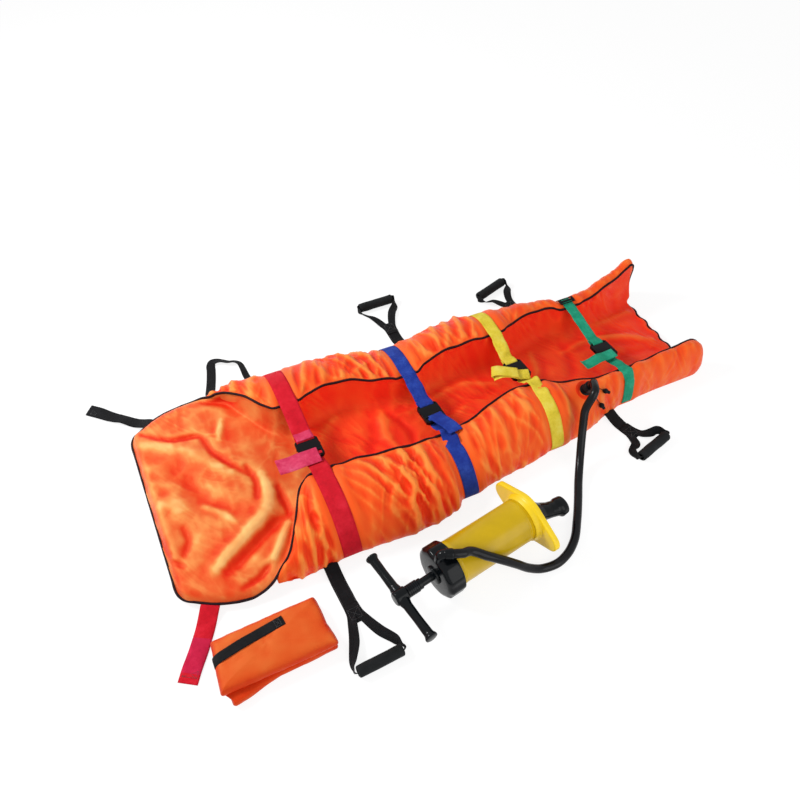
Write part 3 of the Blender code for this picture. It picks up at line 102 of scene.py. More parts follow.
def addBump(tree, shader, height, distance, strength=1.0):
    bump = addNode(tree, "ShaderNodeBump", {"Height": height, "Distance": distance, "Strength": strength})
    tree.links.new(bump.outputs["Normal"], shader.inputs["Normal"])


def paint(tree, shader, factor, stops):
    tree.links.new(colourRamp(tree, factor, stops), shader.inputs["Base Color"])


def roughen(tree, shader, factor, spread, least):
    tree.links.new(maths(tree, "MULTIPLY_ADD", factor, spread, least), shader.inputs["Roughness"])


def rowsOf(points):
    # points of any kind as rows of numbers
    return np.array([tuple(point) for point in points], float)


def unitRows(rows):
    return rows / np.linalg.norm(rows, axis=1)[:, None]


def fullTurn(count):
    return np.linspace(0, 2 * math.pi, count, endpoint=False)


def smoothThrough(knots, values, at):
    # a smooth curve through the knots, read at the places in at
    knots, values, at = np.asarray(knots, float), np.asarray(values, float), np.asarray(at, float)
    slopes = np.gradient(values, knots, axis=0)
    i = np.clip(np.searchsorted(knots, at, side="right") - 1, 0, len(knots) - 2)
    step = knots[i + 1] - knots[i]
    t = np.clip((at - knots[i]) / step, 0.0, 1.0)
    if values.ndim == 2:
        t, step = t[:, None], step[:, None]
    start = (1 + 2 * t) * (1 - t) ** 2 * values[i] + t * (1 - t) ** 2 * step * slopes[i]
    return start + t**2 * (3 - 2 * t) * values[i + 1] + t**2 * (t - 1) * step * slopes[i + 1]


def ease(value, low, high):
    t = np.clip((np.asarray(value, float) - low) / (high - low), 0.0, 1.0)
    return t * t * (3 - 2 * t)


def runLengths(points):
    return np.insert(np.cumsum(np.linalg.norm(np.diff(rowsOf(points), axis=0), axis=1)), 0, 0.0)


def readAlong(rows, runs, at):
    # rows of numbers that belong to these runs, read at the runs in at
    return np.stack([np.interp(at, runs, rows[:, k]) for k in range(rows.shape[1])], axis=1)


def turnedLine(points, turns, count):
    # a smooth line through these points, and the band's sideways directions along it
    runs = runLengths(points)
    at = np.linspace(0, runs[-1], count)
    return smoothThrough(runs, rowsOf(points), at), readAlong(rowsOf(turns), runs, at)


def evenLine(points, count=80, smooth=True):
    # count points at even distances along a smooth line through these
    points = rowsOf(points)
    runs = runLengths(points)
    if smooth:
        points = smoothThrough(runs, points, np.linspace(0, runs[-1], 12 * len(points)))
        runs = runLengths(points)
    return readAlong(points, runs, np.linspace(0, runs[-1], count))


def softNoise(u, v, size, seed):
    # smooth random field from -1 to 1 over u and v, with lumps of about this size
    lattice = np.random.default_rng(seed).uniform(-1, 1, (97, 97))
    u, v = np.asarray(u, float) / size + 31.7, np.asarray(v, float) / size + 17.3
    i, j = np.floor(u).astype(int), np.floor(v).astype(int)
    a, b = ease(u - i, 0, 1), ease(v - j, 0, 1)
    i, j = i % 96, j % 96
    low = lattice[i, j] * (1 - a) + lattice[i + 1, j] * a
    high = lattice[i, j + 1] * (1 - a) + lattice[i + 1, j + 1] * a
    return low * (1 - b) + high * b


def gridMesh(name, rings, around=True, capStart=True, capEnd=True, cut=None):
    # a skin over rings of points; cut gives each point its place on the flat cloth, in metres
    rings = np.asarray(rings, float)
    count, size = rings.shape[:2]
    mesh = bpy.data.meshes.new(name)
    index = np.arange(count * size).reshape(count, size)
    steps = size if around else size - 1
    faces = []
    for i in range(count - 1):
        for j in range(steps):
            k = (j + 1) % size
            faces.append((index[i, j], index[i, k], index[i + 1, k], index[i + 1, j]))
    points = rings.reshape(-1, 3)
    for wanted, ring in ((capStart, 0), (capEnd, count - 1)):
        if wanted:
            points = np.vstack([points, rings[ring].mean(axis=0)])
            middle = len(points) - 1
            faces += [(index[ring, (j + 1) % size], index[ring, j], middle) for j in range(steps)]
    mesh.from_pydata(points.tolist(), [], [tuple(int(i) for i in face) for face in faces])
    if cut is not None:
        cut = np.vstack([np.asarray(cut, float).reshape(-1, 2), np.zeros((len(points) - count * size, 2))])
        corners = np.empty(len(mesh.loops), int)
        mesh.loops.foreach_get("vertex_index", corners)
        mesh.uv_layers.new(name="cut").data.foreach_set("uv", cut[corners].ravel())
    return closeUp(link(bpy.data.objects.new(name, mesh)))


def closeUp(obj, merge=0.0):
    # doubles merged where asked, faces out and shaded smooth
    work = bmesh.new()
    work.from_mesh(obj.data)
    if merge:
        bmesh.ops.remove_doubles(work, verts=work.verts, dist=merge)
    bmesh.ops.recalc_face_normals(work, faces=work.faces)
    work.to_mesh(obj.data)
    work.free()
    obj.data.shade_smooth()
    return obj


def fillEnds(obj):
    # closes the open ends of a skin whose ends aren't round
    work = bmesh.new()
    work.from_mesh(obj.data)
    made = bmesh.ops.holes_fill(work, edges=[edge for edge in work.edges if edge.is_boundary], sides=0)
    bmesh.ops.triangulate(work, faces=made["faces"], ngon_method="EAR_CLIP")
    work.to_mesh(obj.data)
    work.free()
    closeUp(obj)


def sharpEdges(obj, degrees=40):
    obj.data.set_sharp_from_angle(angle=math.radians(degrees))


def workIn(obj):
    # the modifiers' result becomes the piece's own mesh
    mesh = bpy.data.meshes.new_from_object(obj.evaluated_get(bpy.context.evaluated_depsgraph_get()))
    obj.modifiers.clear()
    obj.data = mesh
    return mesh


def readRows(items, name):
    flat = np.empty(len(items) * 3)
    items.foreach_get(name, flat)
    return flat.reshape(-1, 3)


def readPoints(mesh):
    return readRows(mesh.vertices, "co")


def writePoints(mesh, points):
    mesh.vertices.foreach_set("co", np.asarray(points, float).ravel())
    mesh.update()


def pointNormals(mesh):
    return readRows(mesh.vertex_normals, "vector")


def storeValue(mesh, name, values):
    attribute = mesh.attributes.get(name) or mesh.attributes.new(name, "FLOAT", "POINT")
    attribute.data.foreach_set("value", np.asarray(values, np.float32))


def dress(obj, finish, body="mattress", stands=()):
    # gives a piece its finish and body, and hides the CAD nodes that it stands for
    obj.data.materials.clear()
    obj.data.materials.append(finish)
    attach(obj, body)
    if stands:
        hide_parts(*stands)
    return obj


# Camera and studio

camera = {"place": (-0.72396, -1.34751, 1.85260), "ahead": (0.27540, 0.59374, -0.75606), "lens": 35.1}

studio = {
    "floor": 9.0, "floorPaint": 0.80, "floorGlow": 1.18, "glowShare": 0.72, "skyLight": 0.46,
    "keyPlace": (-2.1, 1.3, 2.1), "keySize": 0.8, "keyPower": 70.0,
    "fillPlace": (0.7, -2.6, 1.3), "fillSize": 2.2, "fillPower": 34.0,
}


def makeCamera():
    scene.view_settings.view_transform = "Standard"
    data = bpy.data.cameras.new("camera")
    data.lens = camera["lens"]
    data.sensor_width = 36.0
    eye = link(bpy.data.objects.new("camera", data))
    eye.location = camera["place"]
    eye.rotation_euler = Vector(camera["ahead"]).to_track_quat("-Z", "Y").to_euler()
    scene.camera = eye


def seenDirectly(tree):
    # 1 for rays that show the backdrop: from the camera, in gloss and through clear things
    path = addNode(tree, "ShaderNodeLightPath")
    shown = maths(tree, "MAXIMUM", path.outputs["Is Camera Ray"], path.outputs["Is Glossy Ray"])
    return maths(tree, "MAXIMUM", shown, path.outputs["Is Transmission Ray"])


def makeStudio():
    world = bpy.data.worlds.new("studio")
    world.use_nodes = True
    scene.world = world
    tree = world.node_tree
    light = maths(tree, "MULTIPLY_ADD", seenDirectly(tree), 1.0 - studio["skyLight"], studio["skyLight"])
    tree.links.new(light, tree.nodes["Background"].inputs["Strength"])
    tree.nodes["Background"].inputs["Color"].default_value = (1.0, 1.0, 1.0, 1.0)
    half = studio["floor"] / 2
    mesh = bpy.data.meshes.new("floor")
    mesh.from_pydata([(-half, -half, -gap), (half, -half, -gap), (half, half, -gap), (-half, half, -gap)],
                     [], [(0, 1, 2, 3)])
    floor = link(bpy.data.objects.new("floor", mesh))
    made, tree, shader = blankFinish("floorPaint", Base_Color=(*[studio["floorPaint"]] * 3, 1.0),
                                     Roughness=0.9)
    shader.inputs["Specular IOR Level"].default_value = 0.0
    glow = addNode(tree, "ShaderNodeEmission", {"Strength": studio["floorGlow"]})
    share = maths(tree, "MULTIPLY", seenDirectly(tree), studio["glowShare"])
    mix = addNode(tree, "ShaderNodeMixShader", {0: share, 1: shader.outputs[0], 2: glow.outputs[0]})
    tree.links.new(mix.outputs[0], tree.nodes["Material Output"].inputs["Surface"])
    mesh.materials.append(made)
    for name in ("key", "fill"):
        data = bpy.data.lights.new(name, "AREA")
        data.size = studio[name + "Size"]
        data.energy = studio[name + "Power"]
        lamp = link(bpy.data.objects.new(name, data))
        lamp.location = studio[name + "Place"]
        lamp.rotation_euler = (-Vector(studio[name + "Place"])).to_track_quat("-Z", "Y").to_euler()


makeCamera()
makeStudio()
print("camera and studio")


# Hose, and the sizes of the pump and the valve that it joins

pump = {
    "at": (-0.2436, -0.516, 0.0725), "heading": math.radians(9.9),
    "capRadius": 0.0725, "capLobes": 12, "lobeDepth": 0.0028,
    "elbowAt": 0.014, "elbowHeading": math.radians(-32), "elbowReach": 0.034, "hoseRise": 0.016,
    "barrel": 0.0605, "wall": 0.003, "length": 0.300, "rod": 0.0115, "collar": 0.0165, "collarLength": 0.045,
    "tip": -0.040, "handleSpan": 0.265, "handleRadius": 0.0125, "flare": 0.0165, "hub": 0.020,
    "hubLength": 0.036, "boss": 0.026, "plate": 0.016, "plateHub": 0.046, "wingSpan": 0.245,
    "wingRadius": 0.030, "inletReach": 0.108, "inletBore": 0.017, "inletShift": (-0.020, -0.022),
    # share of the inlet's reach, radius there and share of its shift
    "inlet": [(0.0, 0.044, 0.0), (0.074, 0.043, 0.0), (0.185, 0.034, 0.15), (0.333, 0.027, 0.4),
              (0.556, 0.0235, 0.7), (0.741, 0.0235, 0.9), (0.833, 0.0285, 1.0), (1.0, 0.0265, 1.0)],
}

valve = {"at": (0.418, -0.18897, 0.12951), "tilt": 0.40307, "fittingHeight": 0.036}

hose = {
    "radius": 0.012, "length": 0.964,
    "route": [
        (-0.157, -0.532, 0.152), (-0.117, -0.552, 0.132), (-0.078, -0.566, 0.105), (-0.037, -0.577, 0.070),
        (0.000, -0.586, 0.036), (0.038, -0.592, 0.0145), (0.083, -0.595, 0.0125), (0.127, -0.580, 0.0125),
        (0.161, -0.556, 0.0125), (0.204, -0.505, 0.0125), (0.243, -0.451, 0.0125), (0.280, -0.396, 0.015),
        (0.310, -0.352, 0.030), (0.334, -0.314, 0.060), (0.352, -0.284, 0.100), (0.366, -0.262, 0.140),
    ],
}


def inPump(x, y, z):
    # a point in the pump's own frame: along it from the cap's front, across and up from its axis
    return Matrix.Rotation(pump["heading"], 3, "Z") @ Vector((x, y, z)) + Vector(pump["at"])


def inValve(x, y, z):
    return Matrix.Rotation(valve["tilt"], 3, "X") @ Vector((x, y, z)) + Vector(valve["at"])


def hoseLine():
    radius, heading = hose["radius"], pump["elbowHeading"]
    ahead = Vector((math.cos(heading), math.sin(heading), 0.0))
    rise = pump["capRadius"] + pump["hoseRise"]
    mouth = [inPump(*(Vector((pump["elbowAt"], 0.0, rise)) + ahead * (pump["elbowReach"] + run)))
             for run in (gap, 2 * radius)]
    end = [inValve(0.0, 0.0, valve["fittingHeight"] + gap + run) for run in (2 * radius, 0.0)]
    bend = inValve(0.0, 0.0, valve["fittingHeight"] + gap + 2.5 * radius) + Vector((-0.019, -0.031, 0.002))
    route = rowsOf([*mouth, *hose["route"], bend, *end])
    runs = runLengths(route)
    curve = smoothThrough(runs[1:-1], route[1:-1], np.linspace(runs[1], runs[-2], 150))
    return np.vstack([route[:1], curve, route[-1:]])


def rubberFinish(name, colour, rough, scuff):
    made, tree, shader = blankFinish(name, Roughness=rough, Specular_IOR_Level=0.16)
    cloud = objectNoise(tree, 38.0, 4.0)
    worn = [c * 1.5 + 0.002 for c in colour]
    paint(tree, shader, cloud, [(0.3, colour), (0.62, worn), (0.8, scuff)])
    roughen(tree, shader, objectNoise(tree, 320.0, 2.0), 0.18, rough - 0.08)
    addBump(tree, shader, objectNoise(tree, 900.0, 2.0), 0.00008)
    return made


def makeHose():
    line = hoseLine()
    data = bpy.data.curves.new("hose_tube", "CURVE")
    data.dimensions = "3D"
    data.bevel_depth = hose["radius"]
    data.bevel_resolution = 7
    data.use_fill_caps = True
    spline = data.splines.new("POLY")
    spline.points.add(len(line) - 1)
    for item, point in zip(spline.points, line):
        item.co = (*point, 1.0)
    tube = link(bpy.data.objects.new("hose_tube", data))
    dress(tube, rubberFinish("hoseRubber", (0.003, 0.003, 0.004), 0.20, (0.009, 0.009, 0.011)),
          stands=["hose"])
    return tube, line


hoseTube, hoseRoute = makeHose()
print("hose")


# Mattress

mattress = {
    "length": 1.70, "rollStart": 0.245, "floorStart": 0.452, "edgeHeight": 0.018, "pipingRadius": 0.004,
    "flapTop": 0.036, "flapCrown": 0.010, "floorTop": 0.034, "floorDish": 0.010,
    "pucker": 0.006, "puckerPitch": 0.102, "step": 0.0062, "innerStart": 0.46, "valveFlat": (0.036, 0.060),
    "footGather": (0.005, 0.062),  # depth and pitch
    "overCount": 74, "underCount": 24, "coverCount": 132,  # points across the skins
    # station along the mattress, outer line, inner top edge, height of that edge
    "near": [
        (0.245, 0.350, 0.332, 0.034), (0.300, 0.350, 0.296, 0.078), (0.345, 0.347, 0.222, 0.108),
        (0.385, 0.344, 0.140, 0.120), (0.435, 0.341, 0.119, 0.124), (0.520, 0.343, 0.117, 0.127),
        (0.660, 0.352, 0.133, 0.126), (0.760, 0.337, 0.137, 0.116), (0.830, 0.308, 0.130, 0.100),
        (0.935, 0.292, 0.119, 0.118), (1.037, 0.281, 0.090, 0.130), (1.138, 0.266, 0.092, 0.132),
        (1.250, 0.250, 0.128, 0.125), (1.360, 0.216, 0.150, 0.117), (1.434, 0.203, 0.149, 0.112),
        (1.540, 0.196, 0.142, 0.112), (1.640, 0.196, 0.136, 0.112), (1.700, 0.196, 0.132, 0.110),
    ],
    "far": [
        (0.245, 0.352, 0.334, 0.034), (0.300, 0.352, 0.300, 0.078), (0.345, 0.348, 0.228, 0.108),
        (0.385, 0.341, 0.154, 0.120), (0.435, 0.335, 0.124, 0.124), (0.520, 0.335, 0.136, 0.128),
        (0.620, 0.325, 0.145, 0.126), (0.720, 0.311, 0.114, 0.116), (0.830, 0.299, 0.098, 0.100),
        (0.935, 0.298, 0.126, 0.118), (1.037, 0.310, 0.126, 0.130), (1.138, 0.292, 0.118, 0.132),
        (1.250, 0.272, 0.154, 0.128), (1.340, 0.250, 0.168, 0.124), (1.434, 0.226, 0.144, 0.114),
        (1.540, 0.226, 0.156, 0.126), (1.640, 0.240, 0.178, 0.150), (1.700, 0.246, 0.190, 0.168),
    ],
    "nearFlap": [(0.000, 0.262), (0.010, 0.284), (0.040, 0.306), (0.090, 0.335), (0.160, 0.353),
                 (0.245, 0.351)],
    "farFlap": [(0.000, 0.266), (0.010, 0.290), (0.040, 0.311), (0.090, 0.337), (0.160, 0.353),
                (0.245, 0.353)],
    "nearEnd": [(0.0, 1.0), (0.014, 0.93), (0.027, 0.76), (0.035, 0.52), (0.037, 0.2)],
    "farEnd": [(0.0, 1.0), (0.010, 0.90), (0.016, 0.72), (0.019, 0.3)],
    # across a roll: share of its width from the inner edge, share of its height; from the welt over the top
    "outside": [(0.06, 1.0), (0.22, 1.07), (0.42, 1.08), (0.60, 1.01), (0.78, 0.85), (0.91, 0.62),
                (0.99, 0.42), (1.03, 0.25), (1.025, 0.13), (1.0, 0.04), (0.96, 0.0)],
    "inside": [(0.96, 0.0), (0.55, 0.0), (0.14, 0.0), (0.12, 0.3), (0.10, 0.7), (0.06, 1.0)],
}

straps = {
    # station, width of its slots, share of that which its webbing fills, tail, and how slack it lies
    "red": {"at": 0.454, "width": 0.055, "lean": 0.97, "tail": 0.105, "heading": 180.0,
            "loose": (0.0008, 0.0), "sway": 0.0},
    "blue": {"at": 0.830, "width": 0.052, "lean": 0.86, "tail": 0.064, "heading": 0.0,
             "loose": (0.0034, 0.006), "sway": 0.006},
    "yellow": {"at": 1.138, "width": 0.050, "lean": 0.82, "tail": 0.085, "heading": 160.0,
               "loose": (0.0034, 0.004), "sway": 0.004},
    "green": {"at": 1.434, "width": 0.047, "lean": 0.77, "tail": 0.112, "heading": 184.0,
              "loose": (0.0014, 0.002), "sway": 0.003},
}


def placeX(station):
    return station - mattress["length"] / 2


def held(station):
    # the strap's station for places under a strap, and how free of straps the place is
    knots, values = [0.0], [0.0]
    free = np.ones_like(np.asarray(station, float))
    for strap in straps.values():
        half = strap["width"] / 2 + 0.005
        at = strap["at"]
        knots += [at - half - 0.02, at - half, at + half, at + half + 0.02]
        values += [at - half - 0.02, at, at, at + half + 0.02]
        free = free * ease(np.abs(station - at), half, half + 0.022)
    return np.interp(station, knots + [2.0], values + [2.0]), free


def rollSizes(side, station):
    table = mattress[side]
    here, free = held(station)
    sizes = smoothThrough([row[0] for row in table], [row[1:] for row in table], np.atleast_1d(here))
    outer, inner, height = sizes[0]
    if station > mattress["rollStart"] + 0.034:
        wave = math.cos(2 * math.pi * station / mattress["puckerPitch"])
        height -= free * mattress["pucker"] * (0.5 + 0.5 * wave)
    return float(outer), float(inner), float(height)


def rollSection(side, station, outline, scale=1.0):
    outer, inner, height = rollSizes(side, station)
    points = [(0.5 + (u - 0.5) * scale, 0.45 + (v - 0.45) * scale) for u, v in mattress[outline]]
    return np.array([(inner + u * (outer - inner), max(v, 0.0) * height) for u, v in points])


def flapWidth(side, stations):
    return smoothThrough(*zip(*mattress[side + "Flap"]), stations)


def weltSide(side):
    # station, distance across and height of the sewn edge, from the head to the foot
    early = (0.04, 0.075, 0.11, 0.145, 0.18)
    ends = mattress[side + "Flap"][:2] + list(zip(early, flapWidth(side, early)))
    line = [(s, w, mattress["edgeHeight"]) for s, w in ends]
    line += [(0.210, 0.3515, 0.024), (0.232, 0.345, 0.034)]
    for station in [*np.arange(0.262, mattress["length"] - 0.01, 0.012), mattress["length"]]:
        line.append((station, *rollSection(side, station, "outside")[0]))
    return np.array(line)


# Broad folds of the head end: the line that each follows, its half width and its rise
headFolds = [
    ([(0.003, 0.244), (0.063, 0.209), (0.121, 0.168), (0.181, 0.098), (0.224, 0.029)], 0.027, 0.0055),
    ([(0.036, 0.277), (0.107, 0.218), (0.187, 0.196), (0.209, 0.120), (0.236, 0.069), (0.279, 0.004)],
     0.011, -0.0045),
    ([(0.310, -0.017), (0.309, -0.084), (0.281, -0.135), (0.233, -0.175), (0.172, -0.213), (0.113, -0.249)],
     0.026, 0.0085),
    ([(0.100, 0.087), (0.124, 0.022), (0.152, -0.043), (0.208, -0.095)], 0.036, -0.0065),
    ([(0.315, -0.170), (0.255, -0.198), (0.194, -0.235), (0.136, -0.265)], 0.022, -0.0085),
    ([(0.342, -0.182), (0.290, -0.244), (0.249, -0.289)], 0.016, 0.0070),
    ([(0.160, -0.327), (0.207, -0.315), (0.249, -0.289)], 0.010, -0.0045),
    ([(0.014, 0.001), (0.063, -0.021), (0.064, -0.054)], 0.030, 0.0045),
    ([(0.063, -0.096), (0.068, -0.135), (0.048, -0.173)], 0.012, -0.0038),
    ([(0.006, -0.171), (0.035, -0.207)], 0.009, -0.0030),
    ([(0.262, 0.229), (0.236, 0.158)], 0.011, 0.0035),
    ([(0.007, 0.192), (0.005, 0.070), (0.012, -0.060), (0.020, -0.170)], 0.024, 0.0042),
    ([(0.135, -0.049), (0.170, -0.084), (0.196, -0.133)], 0.012, 0.0035),
    ([(0.280, 0.038), (0.292, -0.023), (0.278, -0.082)], 0.012, -0.0050),
    ([(0.339, -0.071), (0.342, -0.138), (0.340, -0.187)], 0.012, -0.0050),
    ([(0.232, 0.330), (0.282, 0.305), (0.322, 0.270)], 0.016, -0.0050),
]

# Softer folds over the floor between the rolls
floorFolds = [
    ([(0.47, -0.02), (0.53, 0.06), (0.58, 0.10)], 0.020, 0.0045),
    ([(0.60, -0.09), (0.66, -0.01), (0.68, 0.08)], 0.026, -0.0050),
    ([(0.71, -0.10), (0.70, -0.02), (0.72, 0.07)], 0.014, 0.0050),
    ([(0.75, -0.10), (0.77, -0.03), (0.74, 0.05)], 0.014, -0.0040),
    ([(0.80, 0.03), (0.90, 0.05), (1.00, 0.06), (1.10, 0.02)], 0.016, 0.0055),
    ([(0.86, -0.04), (0.95, 0.00), (1.06, 0.00)], 0.020, -0.0050),
    ([(1.18, -0.06), (1.24, 0.02), (1.26, 0.09)], 0.018, 0.0050),
    ([(1.30, -0.08), (1.36, -0.01), (1.38, 0.10)], 0.022, -0.0045),
    ([(1.36, 0.05), (1.46, 0.06), (1.58, 0.03), (1.66, -0.02)], 0.015, 0.0060),
    ([(1.46, -0.08), (1.54, -0.04), (1.64, -0.06)], 0.018, -0.0050),
    ([(1.44, 0.12), (1.54, 0.11), (1.66, 0.12)], 0.018, 0.0050),
]


def foldField(x, y, folds):
    # height of these folds over the plan, x being the station
    total = np.zeros_like(x)
    for line, width, rise in folds:
        line = evenLine(line, 70)
        nearest = np.full(x.shape, np.inf)
        along = np.zeros_like(x)
        for i, (px, py) in enumerate(line):
            away = np.hypot(x - px, y - py)
            closer = away < nearest
            nearest = np.where(closer, away, nearest)
            along = np.where(closer, i / 69, along)
        taper = 0.35 + 0.65 * np.sin(np.pi * np.clip(along, 0.02, 0.98)) ** 0.6
        total += rise * taper * np.exp(-((nearest / (width * (0.6 + 0.4 * taper))) ** 2))
    return total


def gathers(station, girth, seed):
    # folds that run from the welt over a roll in two slanting families, so that they meet in narrow Vs
    total = np.zeros_like(station)
    for slant, pitch, size, k in ((0.30, 0.058, 1.0, 2), (-0.22, 0.047, 0.85, 3), (0.12, 0.029, 0.45, 4),
                                  (-0.40, 0.035, 0.35, 5)):
        lean = slant + 0.20 * softNoise(station, girth * 0, 0.19, seed + k)
        warped = station + lean * (girth - 0.05) + 0.008 * softNoise(station, girth, 0.11, seed + 20 + k)
        phase = warped / pitch + 1.1 * softNoise(station, girth * 0.3, pitch * 2.3, seed + 30 + k)
        wave = 1 - 1.7 * np.abs(np.sin(np.pi * phase)) ** 0.75  # sharp crests between round valleys
        strength = np.clip(0.30 + 1.0 * softNoise(warped, girth * 0.35, pitch * 1.7, seed + 10 + k), 0, 1)
        total += size * wave * strength
    return total


def creases(station, girth, seed):
    # narrow creases between the broad folds, long over the cloth and close together along it
    total = np.zeros_like(station)
    for slant, pitch, size, k in ((0.34, 0.021, 1.0, 2), (-0.28, 0.017, 0.8, 3), (0.05, 0.011, 0.5, 4)):
        lean = slant + 0.3 * softNoise(station, girth * 0, 0.12, seed + k)
        warped = station + lean * (girth - 0.05) + 0.006 * softNoise(station, girth, 0.06, seed + 20 + k)
        ridge = 1 - 2.8 * np.abs(softNoise(warped, girth * 0.24, pitch, seed + 30 + k))
        strength = np.clip(0.40 + 0.9 * softNoise(warped, girth * 0.4, 0.07, seed + 10 + k), 0, 1)
        total += size * np.clip(ridge, -0.7, 1.0) * strength
    return total


def grooves(station):
    # how far each strap presses into the rolls, and the swell on both sides of it
    total = np.zeros_like(station)
    for strap in straps.values():
        away = np.abs(station - strap["at"])
        half = strap["width"] / 2
        total += 0.0030 * ease(-away, -half - 0.010, -half + 0.001)
        total -= 0.0030 * np.exp(-(((away - half - 0.022) / 0.014) ** 2))
    return total


def cutPlace(tree):
    # the place on the flat cloth: across and along, in metres
    place = addNode(tree, "ShaderNodeUVMap", uv_map="cut").outputs["UV"]
    return addNode(tree, "ShaderNodeSeparateXYZ", {0: place}).outputs


def fabricFinish(name, stops, rough=0.42, glow=(1.0, 0.50, 0.12), clouds=(7.0, 0.32)):
    # satin-faced nylon: the fold value runs from valley to crest and sets the colour, painted shade in the
    # valleys and painted highlight on the crests, and the weave follows the cut cloth
    made, tree, shader = blankFinish(name, Specular_IOR_Level=0.42, Specular_Tint=(*glow, 1.0),
                                     Sheen_Weight=0.03, Sheen_Roughness=0.4, Sheen_Tint=(*glow, 1.0))
    fold = addNode(tree, "ShaderNodeAttribute", attribute_name="fold").outputs["Fac"]
    size, share = clouds
    cloud = objectNoise(tree, size, 3.0)
    # painted shade and highlight: the fold value darkens the valleys and lightens the crests; the cloud adds
    # tone at random
    folds = maths(tree, "MULTIPLY_ADD", fold, 0.70, 0.14 - share / 2)
    mixed = maths(tree, "MULTIPLY_ADD", cloud, share, folds)
    paint(tree, shader, mixed, stops)
    roughen(tree, shader, objectNoise(tree, 60.0, 3.0), 0.16, rough - 0.08)
    split, pitch = cutPlace(tree), 0.0011
    threads = [maths(tree, "SINE", maths(tree, "MULTIPLY", split[k], 2 * math.pi / pitch)) for k in (0, 1)]
    weave = maths(tree, "MULTIPLY", *threads)
    crinkle = objectNoise(tree, 240.0, 3.0)
    height = maths(tree, "MULTIPLY_ADD", crinkle, 1.6, maths(tree, "MULTIPLY", weave, 0.16))
    addBump(tree, shader, height, 0.0006, 0.55)
    return made


# each finish's stops run from the valleys' painted shade to the crests' painted highlight
outerCloth = fabricFinish("outerCloth", [
    (0.02, (0.78, 0.012, 0.005)), (0.28, (0.90, 0.052, 0.010)), (0.52, (0.95, 0.110, 0.018)),
    (0.95, (1.00, 0.30, 0.058)),
])
# a lighter, yellower copy of the outer cloth for the flap, as painted satin highlight where it faces the
# light; its deeper red valleys are painted shade and its larger cloud patches painted sheen
flapClothPaintedSheen = fabricFinish("flapClothPaintedSheen", [
    (0.02, (0.70, 0.008, 0.004)), (0.28, (0.76, 0.042, 0.010)), (0.46, (0.78, 0.115, 0.028)),
    (0.66, (0.84, 0.28, 0.075)), (0.90, (0.94, 0.56, 0.20)),
], rough=0.36, clouds=(13.0, 0.62))
# a redder, darker copy of the outer cloth for the floor between the rolls, as painted shade where the rolls
# shade it
innerClothPaintedShade = fabricFinish("innerClothPaintedShade", [
    (0.04, (0.76, 0.006, 0.006)), (0.40, (0.94, 0.032, 0.012)), (0.62, (0.97, 0.068, 0.016)),
    (0.94, (1.00, 0.17, 0.032)),
], glow=(1.0, 0.36, 0.10))


def makeRollSkin(side):
    # one side roll before its folds: rings from the welt over the top, under and back up inside
    sign = -1 if side == "near" else 1
    length = mattress["length"]
    stations = np.arange(mattress["rollStart"], length - 0.003, mattress["step"])
    places = [(station, station, 1.0) for station in stations]
    past, scale = zip(*mattress[side + "End"])
    for over in np.linspace(0.0, past[-1], 9):
        places.append((length, length + over, float(smoothThrough(past, scale, [over])[0])))
    rings, cut, share = [], [], []
    for station, x, size in places:
        over = evenLine(rollSection(side, station, "outside", size), mattress["overCount"])
        under = evenLine(rollSection(side, station, "inside", size), mattress["underCount"],
                         smooth=False)[1:-1]
        section = np.vstack([over, under])
        off = 0.028 * float(1 - ease(station, mattress["rollStart"], mattress["rollStart"] + 0.10))
        rings.append([(placeX(x), sign * across, max(height, off)) for across, height in section])
        girth = runLengths(section)
        cut.append(np.stack([np.full(len(section), x), girth], axis=1))
        share.append(np.concatenate([np.linspace(0, 1, len(over)), np.full(len(under), 2.0)]))
    obj = gridMesh("side_" + side, rings, cut=np.array(cut))
    return obj, np.concatenate(cut), np.concatenate(share)


def coverSection(station, ends):
    # heights across the top cover, from the near welt to the far one
    length = mattress["length"]
    (nearAcross, nearHeight), (farAcross, farHeight) = ends
    y = np.concatenate([-nearAcross + 0.11 * np.linspace(0, 1, 60) ** 2,
                        np.linspace(-nearAcross + 0.115, farAcross - 0.115, 60),
                        farAcross - 0.11 * np.linspace(1, 0, 60) ** 2])
    share = np.where(y < 0, -y / nearAcross, y / farAcross)
    start = ease(station, mattress["rollStart"] - 0.05, mattress["floorStart"])
    middle = mattress["flapTop"] + mattress["flapCrown"] * (1 - start) - 0.002 * start
    middle += (mattress["floorTop"] - mattress["floorDish"] - 0.034) * ease(station, 0.40, 0.60)
    side = mattress["flapTop"] + (mattress["floorTop"] - mattress["flapTop"]) * start
    pad = side + (middle - side) * (1 - share**2)
    z = pad.copy()
    for edge, height in ((y + nearAcross, nearHeight), (farAcross - y, farHeight)):
        reach = 0.030 + 0.32 * max(0.0, height - 0.036)
        z += (height - pad) * np.clip(1 - edge / reach, 0, 1) ** 3
    toEnd = min(1.0, station / 0.030)
    z = mattress["edgeHeight"] + (z - mattress["edgeHeight"]) * (1 - (1 - toEnd) ** 3)
    low = ease(z, 0.050, 0.040)  # only the flat part comes down to the foot welt
    toFoot = min(1.0, (length - station) / 0.012)
    z -= low * (z - mattress["edgeHeight"]) * (1 - toFoot) ** 4
    return evenLine(np.stack([y, z], axis=1), mattress["coverCount"], smooth=False)


